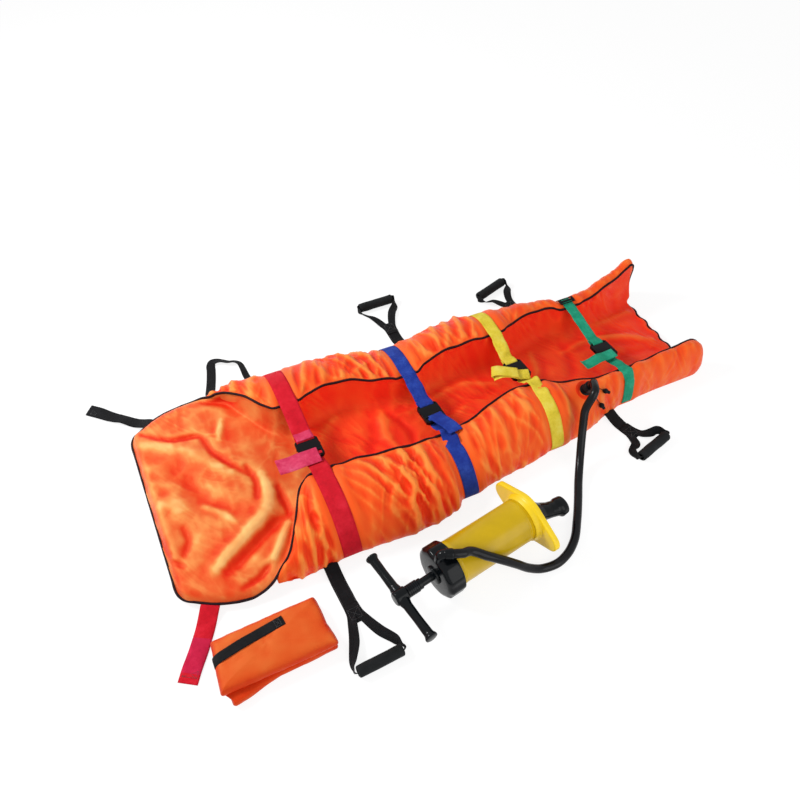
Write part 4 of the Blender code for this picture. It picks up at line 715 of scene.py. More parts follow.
def makeCoverSkin():
    # the top cover, from the head end over the floor between the rolls to the foot
    length = mattress["length"]
    welts = {side: weltSide(side) for side in ("near", "far")}
    stations = np.concatenate([np.linspace(0.0, 0.03, 8)[:-1],
                               np.arange(0.03, length - 0.02, mattress["step"]),
                               np.linspace(length - 0.02, length, 6)])
    rings, cut, share = [], [], []
    for station in stations:
        ends = []
        for side in ("near", "far"):
            line = welts[side]
            across, height = (np.interp(station, line[:, 0], line[:, k]) for k in (1, 2))
            if station < 0.04:
                across = float(flapWidth(side, [station])[0])
            tuck = 0.0015 * ease(station, 0.2, 0.26)
            ends.append((across, height - tuck))
        over = coverSection(station, ends)
        x = placeX(station)
        if station > length - 0.03:  # the foot edge is drawn in between its gathers
            y = over[:, 0]
            depth, pitch = mattress["footGather"]
            wave = depth * (np.cos(2 * np.pi * y / pitch) - 1) * ease(station, length - 0.03, length)
            xs = x + np.where(over[:, 1] < 0.05, wave, 0.0)
        else:
            xs = np.full(len(over), x)
        sides = []
        for sign, (across, height) in zip((-1, 1), ends):
            sides.append([(sign * (across - 0.002), height * 0.5), (sign * (across - 0.012), 0.001),
                          (sign * across * 0.6, gap), (sign * across * 0.2, gap)])
        under = np.array(sides[1] + sides[0][::-1])
        if station == 0.0 or station == length:
            under[:, 1] = np.maximum(under[:, 1], mattress["edgeHeight"] - 0.002)
        section = np.vstack([over, under])
        rings.append(np.stack([np.concatenate([xs, np.full(len(under), x)]), section[:, 0], section[:, 1]],
                              axis=1))
        girth = runLengths(section)
        cut.append(np.stack([np.full(len(section), station), girth], axis=1))
        share.append(np.concatenate([np.linspace(0, 1, len(over)), np.full(len(under), 2.0)]))
    obj = gridMesh("top_cover", rings, capStart=False, capEnd=False, cut=np.array(cut))
    fillEnds(obj)
    return obj, np.concatenate(cut), np.concatenate(share)


cloth = {
    "frames": 18, "pin": 0.06, "rollFold": 0.0080, "coverFold": 0.0006, "facet": 0.0050,
    "swellShare": 0.6, "foldShare": 0.8, "limits": (-0.013, 0.012), "aside": 0.006,
    "settings": {
        "quality": 5, "mass": 0.22, "tension_stiffness": 16.0, "compression_stiffness": 16.0,
        "shear_stiffness": 6.0, "bending_stiffness": 1.2, "tension_damping": 2.0, "compression_damping": 2.0,
        "air_damping": 3.0, "vertex_group_mass": "held", "pin_stiffness": 1.0,
    },
}


def hangCloth(obj, rest, pins, pressure):
    # rest is the shape that the cloth was cut to: longer than its place, so it gathers
    obj.shape_key_add(name="laid")
    key = obj.shape_key_add(name="cut")
    key.data.foreach_set("co", rest.ravel())
    group = obj.vertex_groups.new(name="held")
    levels = np.round(pins, 2)
    for level in np.unique(levels):
        group.add([int(i) for i in np.nonzero(levels == level)[0]], float(level), "REPLACE")
    modifier = obj.modifiers.new("gather", "CLOTH")
    settings = modifier.settings
    for name, value in cloth["settings"].items():
        setattr(settings, name, value)
    settings.rest_shape_key = key
    settings.use_pressure = pressure > 0
    settings.uniform_pressure_force = pressure
    settings.effector_weights.gravity = 0.0
    modifier.collision_settings.use_collision = False
    modifier.point_cache.frame_start = 1
    modifier.point_cache.frame_end = cloth["frames"]


def settle(objects):
    # runs every hung cloth together and leaves each as a plain mesh
    for now in range(1, cloth["frames"] + 1):
        scene.frame_set(now)
    shapes = {}
    graph = bpy.context.evaluated_depsgraph_get()
    for obj in objects:
        shapes[obj.name] = readPoints(obj.evaluated_get(graph).data)
    for obj in objects:
        obj.modifiers.clear()
        obj.shape_key_clear()
        obj.vertex_groups.clear()
    scene.frame_set(1)
    return shapes


def smoothedOver(obj, values, rounds):
    # neighbour averages of a value on the mesh, used to tell folds from the broad form
    edges = np.empty(len(obj.data.edges) * 2, int)
    obj.data.edges.foreach_get("vertices", edges)
    a, b = edges.reshape(-1, 2).T
    count = len(obj.data.vertices)
    weight = np.bincount(a, minlength=count) + np.bincount(b, minlength=count)
    weight = np.maximum(weight, 1)
    for _ in range(rounds):
        total = np.bincount(a, values[b], count) + np.bincount(b, values[a], count)
        values = 0.5 * values + 0.5 * total / weight
    return values


def readValue(mesh, name):
    values = np.empty(len(mesh.vertices), np.float32)
    mesh.attributes[name].data.foreach_get("value", values)
    return values.astype(float)


def finishCloth(obj, rise, full, detail, fine):
    # one subdivision, then the narrow creases on it; the fold value is the height over the surroundings,
    # which the finishes paint as shade in the valleys and highlight on the crests
    storeValue(obj.data, "fold", rise - smoothedOver(obj, rise, 40))
    for name, values in detail.items():
        storeValue(obj.data, name, values)
    modifier = obj.modifiers.new("fine", "SUBSURF")
    modifier.levels = 1
    modifier.render_levels = 1
    modifier.boundary_smooth = "PRESERVE_CORNERS"
    mesh = workIn(obj)
    mesh.shade_smooth()
    extra = fine(*[readValue(mesh, name) for name in detail])
    points = readPoints(mesh) + pointNormals(mesh) * extra[:, None]
    points[:, 2] = np.maximum(points[:, 2], gap / 2)
    writePoints(mesh, points)
    storeValue(mesh, "fold", np.clip((readValue(mesh, "fold") + extra) / full, -1, 1) * 0.5 + 0.5)
    for name in detail:
        mesh.attributes.remove(mesh.attributes[name])


def fineRoll(station, girth, mask):
    size = 0.0023 * (1.0 - 0.50 * ease(station, 1.05, 1.40))
    return creases(station, girth, 71) * size * mask


def fineCover(station, girth, mask):
    size = 0.0008 + 0.0004 * ease(station, 0.42, 0.50)
    shrunk = creases(station * 0.8 + girth * 0.5, girth * 0.8 - station * 0.6, 83)
    return shrunk * size * mask


clothKinds = {
    # length over its place, pressure, height of a full fold, filling and the rule of the narrow creases
    "roll": {"stretch": 1.07, "pressure": 2.0, "full": 0.0038, "fill": 0.7, "fine": fineRoll},
    "cover": {"stretch": 1.03, "pressure": 0.0, "full": 0.0034, "fill": 0.4, "fine": fineCover},
}


def drawFolds(name, base, station, girth, share, free):
    # the rise of a skin's drawn folds, and how far its narrow creases take part
    length, start = mattress["length"], mattress["rollStart"]
    if name == "cover":
        y = base[:, 1]
        lift = 1.6 * foldField(station, y, headFolds) + 1.2 * foldField(station, y, floorFolds)
        facets = np.abs(softNoise(station + 0.5 * y, y - 0.3 * station, 0.105, 44))
        facets += 0.5 * np.abs(softNoise(station - 0.7 * y, y + 0.4 * station, 0.065, 45))
        lift += cloth["facet"] * (0.35 - facets) * (0.55 + 0.45 * ease(station, 0.35, 0.50))
        small = gathers(station, girth, 41) * cloth["coverFold"]
        edgeRun = np.minimum(share, 1 - share)
        small *= 1 + 3.0 * np.exp(-((edgeRun / 0.06) ** 2)) * (station > 0.4)
        fade = ease(station, 0.0, 0.03) * ease(-station, -length, -length + 0.03)
        lift = (lift + small) * ease(edgeRun, 0.0, 0.035) * (share <= 1) * fade
        return lift, fade * ease(edgeRun, 0.004, 0.030) * (share <= 1)
    strength = cloth["rollFold"] * (1.0 - 0.68 * ease(station, 1.08, 1.42))
    mask = free * ease(share, 0.0, 0.07) * ease(-share, -1.0, -0.90) * (share <= 1)
    mask *= ease(station, start, start + 0.05)
    mask *= ease(-station, -length - 0.03, -length + 0.02)
    lift = gathers(station, girth, 7 if name == "near" else 23) * strength * mask
    if name == "near":  # it lies smooth round the valve
        away = np.hypot(base[:, 0] - valve["at"][0], base[:, 1] - valve["at"][1])
        smooth = ease(away, *mattress["valveFlat"])
        return lift * smooth, mask * smooth
    return lift, mask


def makeMattress():
    skins, simulated = {}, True
    start = placeX(mattress["rollStart"])
    made = {"near": makeRollSkin("near"), "far": makeRollSkin("far"), "cover": makeCoverSkin()}
    for name, (obj, cut, share) in made.items():
        spare = len(obj.data.vertices) - len(cut)  # the middles of the caps
        station, girth = np.vstack([cut, np.tile(cut[-1:], (spare, 1))]).T
        share = np.concatenate([share, np.full(spare, 2.0)])
        base, normals = readPoints(obj.data), pointNormals(obj.data)
        _, free = held(station)
        lift, mask = drawFolds(name, base, station, girth, share, free)
        if name != "cover":
            base = base - normals * (grooves(station) * ease(-share, -0.97, -0.90) * (share <= 1))[:, None]
        skins[name] = (obj, base, normals, lift, free, {"station": station, "girth": girth, "mask": mask})
        if not simulated:
            continue
        writePoints(obj.data, base + normals * (lift * 0.5)[:, None])
        kind = clothKinds["cover" if name == "cover" else "roll"]
        rest = base.copy()
        rest[:, 0] = start + (rest[:, 0] - start) * kind["stretch"]
        pins = np.where((share < 0.012) | (share > 0.985), 1.0, cloth["pin"])
        if name != "cover":
            pins = np.maximum(pins, np.where(free < 0.5, 0.5, 0.0))
        hangCloth(obj, rest, pins, kind["pressure"])
    shapes = settle([skin[0] for skin in skins.values()]) if simulated else {}
    for name, (obj, base, normals, lift, free, detail) in skins.items():
        kind = clothKinds["cover" if name == "cover" else "roll"]
        rise, points = lift, base + normals * lift[:, None]
        if simulated:
            moved = shapes[obj.name] - base
            rise = (moved * normals).sum(axis=1)
            aside = moved - normals * rise[:, None]
            loose = free if name != "cover" else np.ones_like(free)
            rise = np.clip(cloth["swellShare"] * rise + cloth["foldShare"] * lift, *cloth["limits"]) * loose
            size = np.maximum(np.linalg.norm(aside, axis=1), 1e-9)
            aside *= np.minimum(1.0, cloth["aside"] / size)[:, None]
            points = base + normals * rise[:, None] + aside * loose[:, None]
            points[:, 2] = np.maximum(points[:, 2], gap)
        writePoints(obj.data, points)
        finishCloth(obj, rise, kind["full"], detail, kind["fine"])
        if name != "cover":
            dress(obj, outerCloth, stands=["side_roll_" + name])
        else:
            dress(obj, flapClothPaintedSheen, stands=["head_flap", "mattress_floor"])
            obj.data.materials.append(innerClothPaintedShade)
            # the floor between the rolls takes the copy with painted shade
            inner = readRows(obj.data.polygons, "center")[:, 0] > placeX(mattress["innerStart"])
            obj.data.polygons.foreach_set("material_index", inner.astype(np.int32))


makeMattress()
print("mattress")


# Bands of webbing

band = {
    "thickness": 0.0018, "floor": 0.0008, "press": 0.0026,
    "buckleThick": 0.012, "socket": 0.046, "plug": 0.030, "boss": 0.0028, "bar": 0.0055, "slot": 0.0045,
}


def bandPiece(name, line, sides, width, thickness=0.0018, ripple=None, step=0.004, cut=0.0):
    # a flat woven band; ripple gives its rise from the run and the share across, -1 to 1
    line, sides = rowsOf(line), rowsOf(sides)
    runs = runLengths(line)
    count = max(6, int(runs[-1] / step))
    at = np.linspace(0, runs[-1], count)
    centre, side = readAlong(line, runs, at), readAlong(sides, runs, at)
    width = np.interp(at, runs, width) if np.ndim(width) else np.full(count, width)
    along = unitRows(np.gradient(centre, axis=0))
    side = unitRows(side - along * (side * along).sum(axis=1)[:, None])
    up = np.cross(along, side)
    across = np.linspace(-1, 1, 9)
    half = thickness / 2 * (1 - 0.6 * np.abs(across) ** 6)
    rings, flat = [], []
    for i in range(count):
        rise = np.broadcast_to(ripple(at[i], across) if ripple else 0.0, across.shape)
        middle = centre[i] + side[i] * (across * width[i] / 2)[:, None] + up[i] * rise[:, None]
        rings.append(np.vstack([middle + up[i] * half[:, None], (middle - up[i] * half[:, None])[::-1]]))
        place = np.stack([across * width[i] / 2, np.full(9, at[i] + cut)], axis=1)
        flat.append(np.vstack([place, place[::-1]]))
    rings, floor = np.array(rings), band["floor"]
    height = rings[:, :, 2]
    # what would sink in lies on the ground
    rings[:, :, 2] = np.where(height < floor, floor * np.exp(height / floor - 1), height)
    return gridMesh(name, rings, cut=np.array(flat))


def webbingFinish(name, colour, light, rough=0.58, sheen=0.10):
    # flat woven polyester: herringbone ribs on the band's own length and width
    made, tree, shader = blankFinish(name, Specular_IOR_Level=0.15, Sheen_Weight=sheen, Sheen_Roughness=0.4,
                                     Sheen_Tint=(*light, 1.0), Roughness=rough)
    split, pitch = cutPlace(tree), 0.0021
    slant = maths(tree, "ADD", split[1], maths(tree, "PINGPONG", split[0], 0.0032))
    rib = maths(tree, "SINE", maths(tree, "MULTIPLY", slant, 2 * math.pi / pitch))
    cloud = objectNoise(tree, 26.0, 4.0)
    wear = objectNoise(tree, 130.0, 3.0)
    shade = maths(tree, "MULTIPLY_ADD", wear, 0.3, maths(tree, "MULTIPLY", cloud, 0.7))
    # painted shade: the grooves between the ribs are drawn a little darker
    shade = maths(tree, "MULTIPLY_ADD", rib, 0.10, shade)
    paint(tree, shader, shade, [(0.25, [c * 0.72 for c in colour]), (0.5, colour), (0.78, light)])
    addBump(tree, shader, maths(tree, "MULTIPLY_ADD", wear, 0.6, rib), 0.0004, 0.8)
    return made


def plasticFinish(name, colour, light, rough, grain=0.00006, coat=0.0, shine=0.25):
    # moulded plastic: fine grain, a cloudy tone and convex edges lighter than the flats
    made, tree, shader = blankFinish(name, Specular_IOR_Level=shine, Coat_Weight=coat, Coat_Roughness=0.12)
    cloud = objectNoise(tree, 21.0, 4.0)
    edge = addNode(tree, "ShaderNodeNewGeometry").outputs["Pointiness"]
    edge = maths(tree, "SUBTRACT", edge, 0.5)
    # lighter on convex edges and a little darker in hollows, from the pointiness
    edgeTone = maths(tree, "MULTIPLY_ADD", edge, 3.0, maths(tree, "MULTIPLY", cloud, 0.8))
    paint(tree, shader, edgeTone, [(0.2, colour), (0.55, [c * 1.15 for c in colour]), (0.9, light)])
    roughen(tree, shader, objectNoise(tree, 210.0, 3.0), 0.14, rough - 0.07)
    addBump(tree, shader, objectNoise(tree, 1100.0, 2.0), grain)
    return made


webbings = {
    "red": webbingFinish("redWebbing", (0.78, 0.006, 0.022), (0.92, 0.030, 0.060)),
    "blue": webbingFinish("blueWebbing", (0.012, 0.040, 0.34), (0.05, 0.13, 0.60)),
    "yellow": webbingFinish("yellowWebbing", (0.98, 0.76, 0.05), (1.00, 0.88, 0.20)),
    "green": webbingFinish("greenWebbing", (0.01, 0.34, 0.19), (0.06, 0.56, 0.36)),
    "pink": webbingFinish("paleRedWebbing", (0.80, 0.035, 0.12), (0.95, 0.16, 0.30)),
    # painted sheen: a paler copy of the red webbing, for where light catches the head strap
    "paintedSheenRed": webbingFinish("paintedSheenRedWebbing", (0.74, 0.012, 0.070), (0.88, 0.040, 0.120)),
    "black": webbingFinish("blackWebbing", (0.005, 0.005, 0.006), (0.016, 0.016, 0.019), 0.7, 0.02),
}
plastic = plasticFinish("blackPlastic", (0.003, 0.003, 0.004), (0.014, 0.014, 0.017), 0.34, shine=0.10)
glossy = plasticFinish("glossPlastic", (0.002, 0.003, 0.004), (0.010, 0.013, 0.018), 0.20, coat=0.03,
                       shine=0.13)
yellowPlastic = plasticFinish("yellowPlastic", (0.84, 0.58, 0.008), (0.95, 0.78, 0.06), 0.36, coat=0.05,
                              shine=0.35)
olivePlastic = plasticFinish("barrelPlastic", (0.56, 0.36, 0.003), (0.76, 0.54, 0.008), 0.32, coat=0.05,
                             shine=0.22)


def mould(name, node, width, body="mattress"):
    # a CAD part with its hard edges rounded, as it comes from a mould
    work = bmesh.new()
    work.from_mesh(frame["nodes"][node].data)
    bmesh.ops.remove_doubles(work, verts=work.verts, dist=1e-6)
    bmesh.ops.dissolve_limit(work, angle_limit=math.radians(1), verts=work.verts, edges=work.edges)
    hard = [edge for edge in work.edges if edge.is_manifold and edge.calc_face_angle(0.0) > math.radians(28)]
    bmesh.ops.bevel(work, geom=hard, offset=width, segments=3, profile=0.6, affect="EDGES",
                    clamp_overlap=True)
    bmesh.ops.triangulate(work, faces=[face for face in work.faces if len(face.verts) > 4])
    mesh = bpy.data.meshes.new(name)
    work.to_mesh(mesh)
    work.free()
    made = closeUp(link(bpy.data.objects.new(name, mesh)))
    sharpEdges(made, 38)
    return dress(made, plastic, body, [node])


# Patient straps


def buckleFrame(colour):
    # the buckle's middle and its length and height directions, from the axes of its two side arms
    arms = [joint for joint in frame["joints"] if joint["name"].startswith("tab_" + colour)]
    up = Vector(next(joint["axis"] for joint in arms if joint["axis"][2] > 0)).normalized()
    along = Vector((1.0, 0.0, 0.0)).cross(-up).normalized()
    along = along if along.y > 0 else -along
    middle = (Vector(arms[0]["pos_m"]) + Vector(arms[1]["pos_m"])) / 2
    return middle - along * band["boss"], along, up


def overRoll(side, station, lift):
    # the band's line over a roll, from its foot beside the floor to above the sewn edge
    section = evenLine(rollSection(side, station, "outside"), 46)[:43]
    along = unitRows(np.gradient(section, axis=0))
    across, height = rollSection(side, station, "outside")[0]
    lifts = lift + band["press"] * ease(across - section[:, 0], -0.034, -0.014)
    section = section + np.stack([-along[:, 1], along[:, 0]], axis=1) * lifts[:, None]
    top = height + mattress["pipingRadius"] + 3 * gap + band["thickness"] / 2
    section = section[section[:, 0] > across + 0.014]
    overEdge = [(across + 0.008, top - 0.0006), (across, top + 0.0004), (across - 0.009, top - 0.001)]
    line = np.vstack([section[::-1], overEdge])
    sign = -1 if side == "near" else 1
    return [Vector((placeX(station), sign * a, max(z, 0.002))) for a, z in line]


def crumple(size, seed, start, stop, bend=0.0):
    # small waves that come and go between two runs along a band
    def rise(run, across):
        here = float(ease(run, start, start + 0.02) * ease(-run, -stop, -stop + 0.02))
        wave = softNoise(np.full(9, run), across * 0.02, 0.021, seed) + 0.5 * softNoise(
            np.full(9, run), across * 0.02, 0.009, seed + 1)
        return here * (size * wave + bend * across * np.sin(run / 0.011))
    return rise


def makeStrap(colour, strap):
    place, along, up = buckleFrame(colour)
    station, width, thick = strap["at"], strap["width"] * strap["lean"], band["thickness"]
    top = band["buckleThick"] / 2 + gap + thick / 2
    lift = gap + thick / 2 - band["press"]
    slot = band["socket"] - band["bar"] - band["slot"] / 2
    side = (1.0, 0.0, 0.0)

    def inBuckle(a, b, c=0.0):
        return place + along * a + up * b + Vector((c, 0.0, 0.0))

    pieces = []
    far = overRoll("far", station, lift)
    span = [far[-1].lerp(inBuckle(0.072, 0.0015), share) for share in (0.35, 0.7)]
    turn = [inBuckle(*stage) for stage in ((0.072, 0.0015), (0.060, 0.0052), (0.050, top),
                                           (slot + 0.004, top), (slot, top * 0.5), (slot, -top * 0.5),
                                           (slot + 0.004, -top), (0.050, -top), (0.060, -0.0046),
                                           (0.070, -0.0028))]
    line = far + span + turn
    start = runLengths(far)[-1]
    size, bend = strap["loose"]
    ripple = crumple(size, 51, start - 0.01, start + 0.09, bend * 0.4)
    pieces.append(bandPiece("far", line, [side] * len(line), width, ripple=ripple))
    near = overRoll("near", station, lift)
    wrap = [inBuckle(*stage) for stage in ((-0.036, -top), (-0.018, -top), (-0.012, -top * 0.5),
                                           (-0.012, top * 0.5), (-0.016, top), (-0.026, top))]
    start = runLengths(near)[-1]
    hang = (wrap[0] - near[-1]).length
    line = near + [near[-1].lerp(wrap[0], share) for share in (0.35, 0.7)] + wrap
    runs = runLengths(line)
    for point, run in zip(line, runs):  # slack webbing wanders over the roll
        loose = ease(run, start - 0.09, start - 0.04) * ease(-run, -start - hang * 0.7, -start - hang * 0.3)
        point.x += strap["sway"] * math.sin(run / 0.030) * float(loose)
    ripple = crumple(size, 57, start - 0.075, start + hang * 0.8, bend)
    pieces.append(bandPiece("near", line, [side] * len(line), width, ripple=ripple))
    return pieces, inBuckle, top, near[-6:]


def joinPieces(name, pieces):
    # several meshes of one finish as one object
    parts = bmesh.new()
    parts.loops.layers.uv.new("cut")
    for piece in pieces:
        parts.from_mesh(piece.data)
    mesh = bpy.data.meshes.new(name)
    parts.to_mesh(mesh)
    parts.free()
    for piece in pieces:
        old = piece.data
        bpy.data.objects.remove(piece)
        bpy.data.meshes.remove(old)
    made = link(bpy.data.objects.new(name, mesh))
    made.data.shade_smooth()
    return made


def tailLine(start, heading, run, stages):
    # stages: share of the run, sideways shift and rise
    ahead = Matrix.Rotation(math.radians(heading), 3, "Z") @ Vector((1.0, 0.0, 0.0))
    side = Vector((-ahead.y, ahead.x, 0.0))
    points = [start + ahead * run * share + side * shift + Vector((0, 0, rise))
              for share, shift, rise in stages]
    return evenLine(points), side


tails = {
    "red": [(-0.15, 0, 0.0006), (0.10, 0, 0.0006), (0.35, 0.001, 0.003), (0.60, 0.001, 0.001),
            (0.85, 0.002, 0.004), (1.0, 0.002, 0.0065)],
    "blue": [(-0.30, 0, 0.0006), (0.25, 0, 0.0006), (0.55, 0, 0.003), (0.80, -0.001, 0.001),
             (1.0, -0.002, -0.003)],
    "yellow": [(-0.25, 0, 0.0006), (0.20, 0, 0.002), (0.45, 0, 0.011), (0.72, 0, 0.013), (0.95, 0, 0.006),
               (1.05, 0, -0.001)],
    "green": [(-0.15, 0, 0.0006), (0.15, 0, 0.0006), (0.42, 0, 0.006), (0.66, 0.001, 0.001),
              (0.86, 0.003, 0.003), (0.98, 0.006, 0.013)],
}


def makeStraps():
    for colour, strap in straps.items():
        pieces, inBuckle, top, edge = makeStrap(colour, strap)
        width, thick = strap["width"] * strap["lean"], band["thickness"]
        start = inBuckle(-band["plug"] * 0.45 - width * 0.28, top + thick * 0.5)
        line, side = tailLine(start, strap["heading"], strap["tail"], tails[colour])
        if colour == "blue":  # its tail runs back over the near half
            points = [inBuckle(-0.008, top + 0.0030, 0.002), inBuckle(-0.026, top + 0.0045, 0.004)]
            edgeTop = edge[-1] + Vector((0.016, 0.0, 0.0085))
            points += [points[1].lerp(edgeTop, share) for share in (0.4, 0.8)]
            points += [edge[-2] + Vector((0.018, 0.0, 0.0065)), edge[-4] + Vector((0.021, 0.0, 0.0080))]
            line = evenLine(points)
        tail = bandPiece("tail", line, [(1, 0, 0) if colour == "blue" else side] * len(line), width * 0.97,
                         ripple=crumple(0.0007, 63, 0.02, 0.2))
        if colour == "red":
            dress(tail, webbings["pink"])
            tail.name = "strap_red_tail"
            double = [inBuckle(a, b) for a, b in ((0.112, 0.0030), (0.085, 0.0030), (0.072, 0.0042),
                                                  (0.060, 0.0072), (0.052, top + 0.0020),
                                                  (0.040, top + 0.0020))]
            upper = bandPiece("strap_red_double", evenLine(double, 40), [(1, 0, 0)] * 40, width * 0.96,
                              ripple=crumple(0.0008, 71, 0.0, 0.06))
            dress(upper, webbings["pink"])
        else:
            pieces.append(tail)
            if colour == "yellow":  # the tail is folded back over itself, like a bow
                back = [(1.02, 0, 0.000), (1.12, 0, 0.007), (0.98, 0.002, 0.017), (0.66, 0.004, 0.019),
                        (0.34, 0.003, 0.012), (0.16, 0.001, 0.008)]
                line, side = tailLine(start, strap["heading"] - 6, strap["tail"], back)
                pieces.append(bandPiece("bow", line, [side] * len(line), width * 0.94,
                                        ripple=crumple(0.0012, 77, 0.01, 0.2)))
        whole = joinPieces("strap_" + colour, pieces)
        halves = ["strap_" + colour + half for half in ("_far", "_near")]
        dress(whole, webbings[colour], stands=halves)
        for part in ("socket", "plug"):
            mould("shell_" + colour + "_" + part, "buckle_" + colour + "_" + part, 0.0009)
        for end in ("head", "foot"):
            tab = "tab_" + colour + "_" + end
            mould("arm_" + colour + "_" + end, "buckle_" + colour + "_tab_" + end, 0.0006, tab)
    mould("ladder_lock", "strap_green_ladder", 0.0008)


makeStraps()
print("straps")


# Handles and loose straps

handles = {
    "webWidth": 0.040, "gripLength": 0.123, "gripRadius": 0.016, "thickness": 0.0024,
    "runs": [0.158, 0.122, 0.108, 0.100], "reaches": [0.132, 0.108, 0.086, 0.070],  # handles 1 to 4
}
stitching = {}  # seam lines waiting for their thread, by body


def stitch(body, line):
    stitching.setdefault(body, []).append(rowsOf(line))


def boxStitch(body, middle, across, along, up, width, length):
    # a sewn box with a cross in it
    corners = [middle + across * (a * width / 2) + along * (b * length / 2) + up
               for a, b in ((-1, -1), (1, -1), (1, 1), (-1, 1))]
    stitch(body, corners + corners[:1])
    stitch(body, [corners[0], corners[2]])
    stitch(body, [corners[1], corners[3]])


def jointAt(name):
    joint = next(joint for joint in frame["joints"] if joint["name"] == name)
    return Vector(joint["pos_m"]), Vector(joint["axis"]).normalized()


def foamFinish():
    made, tree, shader = blankFinish("foamGrip", Specular_IOR_Level=0.12, Sheen_Weight=0.04,
                                     Sheen_Roughness=0.5)
    place = addNode(tree, "ShaderNodeTexCoord").outputs["Object"]
    cells = addNode(tree, "ShaderNodeTexVoronoi", {"Vector": place, "Scale": 620.0}).outputs["Distance"]
    cloud = objectNoise(tree, 34.0, 4.0)
    paint(tree, shader, cloud, [
        (0.3, (0.005, 0.006, 0.006)), (0.6, (0.010, 0.011, 0.012)), (0.8, (0.024, 0.026, 0.027)),
    ])
    roughen(tree, shader, cloud, 0.2, 0.58)
    addBump(tree, shader, cells, 0.0005, 0.6)
    return made


foam = foamFinish()


def makeGrip(number, centre, axis, up):
    # a foam tube, a little uneven, open where the webbing runs through
    half, radius = handles["gripLength"] / 2, handles["gripRadius"]
    side = up.cross(axis)
    outer = [(-half, 0.0105), (-half, radius - 0.004), (-half + 0.0012, radius - 0.0015),
             (-half + 0.004, radius)]
    profile = list(outer)
    profile += [(x, radius) for x in np.linspace(-half + 0.010, half - 0.010, 22)]
    profile += [(-x, r) for x, r in reversed(outer)]
    profile += [(x, 0.0105) for x in np.linspace(half - 0.006, -half, 8)]
    rings = []
    turn = fullTurn(40)
    for x, r in profile:
        dent = softNoise(np.cos(turn) * 0.03 + x, np.sin(turn) * 0.03 + number, 0.02, 5)
        size = (r - 0.0004 + 0.0005 * dent * (r > 0.012))[:, None]
        rings.append(np.array(centre) + np.outer(np.full(40, x), axis)
                     + size * (np.outer(np.cos(turn), up) + np.outer(np.sin(turn), side)))
    grip = gridMesh("foam_grip_%d" % number, rings, capStart=False, capEnd=False)
    dress(grip, foam, "handle_%d_grip_body" % number, ["handle_%d_grip" % number])


def makeHandle(number):
    seam, along = jointAt("handle_%d_swing" % number)
    centre, axis = jointAt("handle_%d_grip_turn" % number)
    body = "handle_%d" % number
    run, reach, up = handles["runs"][number - 1], handles["reaches"][number - 1], Vector((0.0, 0.0, 1.0))
    ahead = Vector((centre.x - seam.x, centre.y - seam.y, 0.0)).normalized()
    side = up.cross(ahead)
    floor = handles["thickness"] / 2 + gap
    half = handles["gripLength"] / 2
    level = run + reach

    def at(x, d, z):
        return Vector((seam.x, seam.y, 0.0)) + ahead * d + side * x + up * z

    line = [at(0, -0.006, 0.0205), at(0, 0.004, 0.018), at(0, 0.020, 0.010), at(0, 0.045, floor + 0.0006),
            at(0, 0.09, floor), at(0, run - 0.02, floor), at(0, run + 0.012, floor)]
    start = along if along.dot(side) > 0 else -along
    sides = [start, start, side] + [side] * 77
    pieces = [bandPiece("stem", evenLine(line), sides, handles["webWidth"], handles["thickness"],
                        crumple(0.0006, 80 + number, 0.03, run))]
    for sign in (-1, 1):
        wave = softNoise(number * 1.7, sign * 2.3, 1.0, 9) * 0.006
        stages = [(0.009, run - 0.040, floor + 0.0026), (0.011, run - 0.010, floor + 0.0027),
                  (0.018, run + 0.012, floor + 0.0036), (0.58 * half, run + 0.45 * reach, 0.010 + wave),
                  (half - 0.003, level - 0.032, 0.0130), (half + 0.0050, level - 0.012, 0.0155),
                  (half + 0.0060, level - 0.001, 0.016), (half + 0.0008, level + 0.002, 0.016),
                  (half - 0.012, level, 0.016)]
        path = [at(sign * x, d, z) for x, d, z in stages]
        out = (path[3] - path[2]).normalized().cross(up) * -1
        tip = (up + ahead * 0.45).normalized()
        turns = [side, side, (out + side).normalized(), out.lerp(up, 0.16 + 0.1 * sign).normalized(),
                 out.lerp(up, 0.45).normalized(), tip, tip, tip, tip]
        curve, turned = turnedLine(path, turns, 70)
        wide = np.interp(np.linspace(0, 1, 70), [0, 0.5, 0.85, 1], [0.022, 0.027, 0.024, 0.018])
        pieces.append(bandPiece("leg", curve, turned, wide, handles["thickness"],
                                crumple(0.0005, 90 + number, 0.02, 0.2), step=0.003))
    whole = joinPieces("webbing_" + body, pieces)
    dress(whole, webbings["black"], body, ["handle_%d_webbing" % number])
    boxStitch(body, at(0, run - 0.012, 0), side, ahead, up * (floor + 0.0042), 0.030, 0.030)
    for x in (-0.017, 0.017):
        stitch(body, [at(x, 0.05, floor + 0.0015), at(x, run - 0.04, floor + 0.0015)])
    makeGrip(number, centre, axis, up)


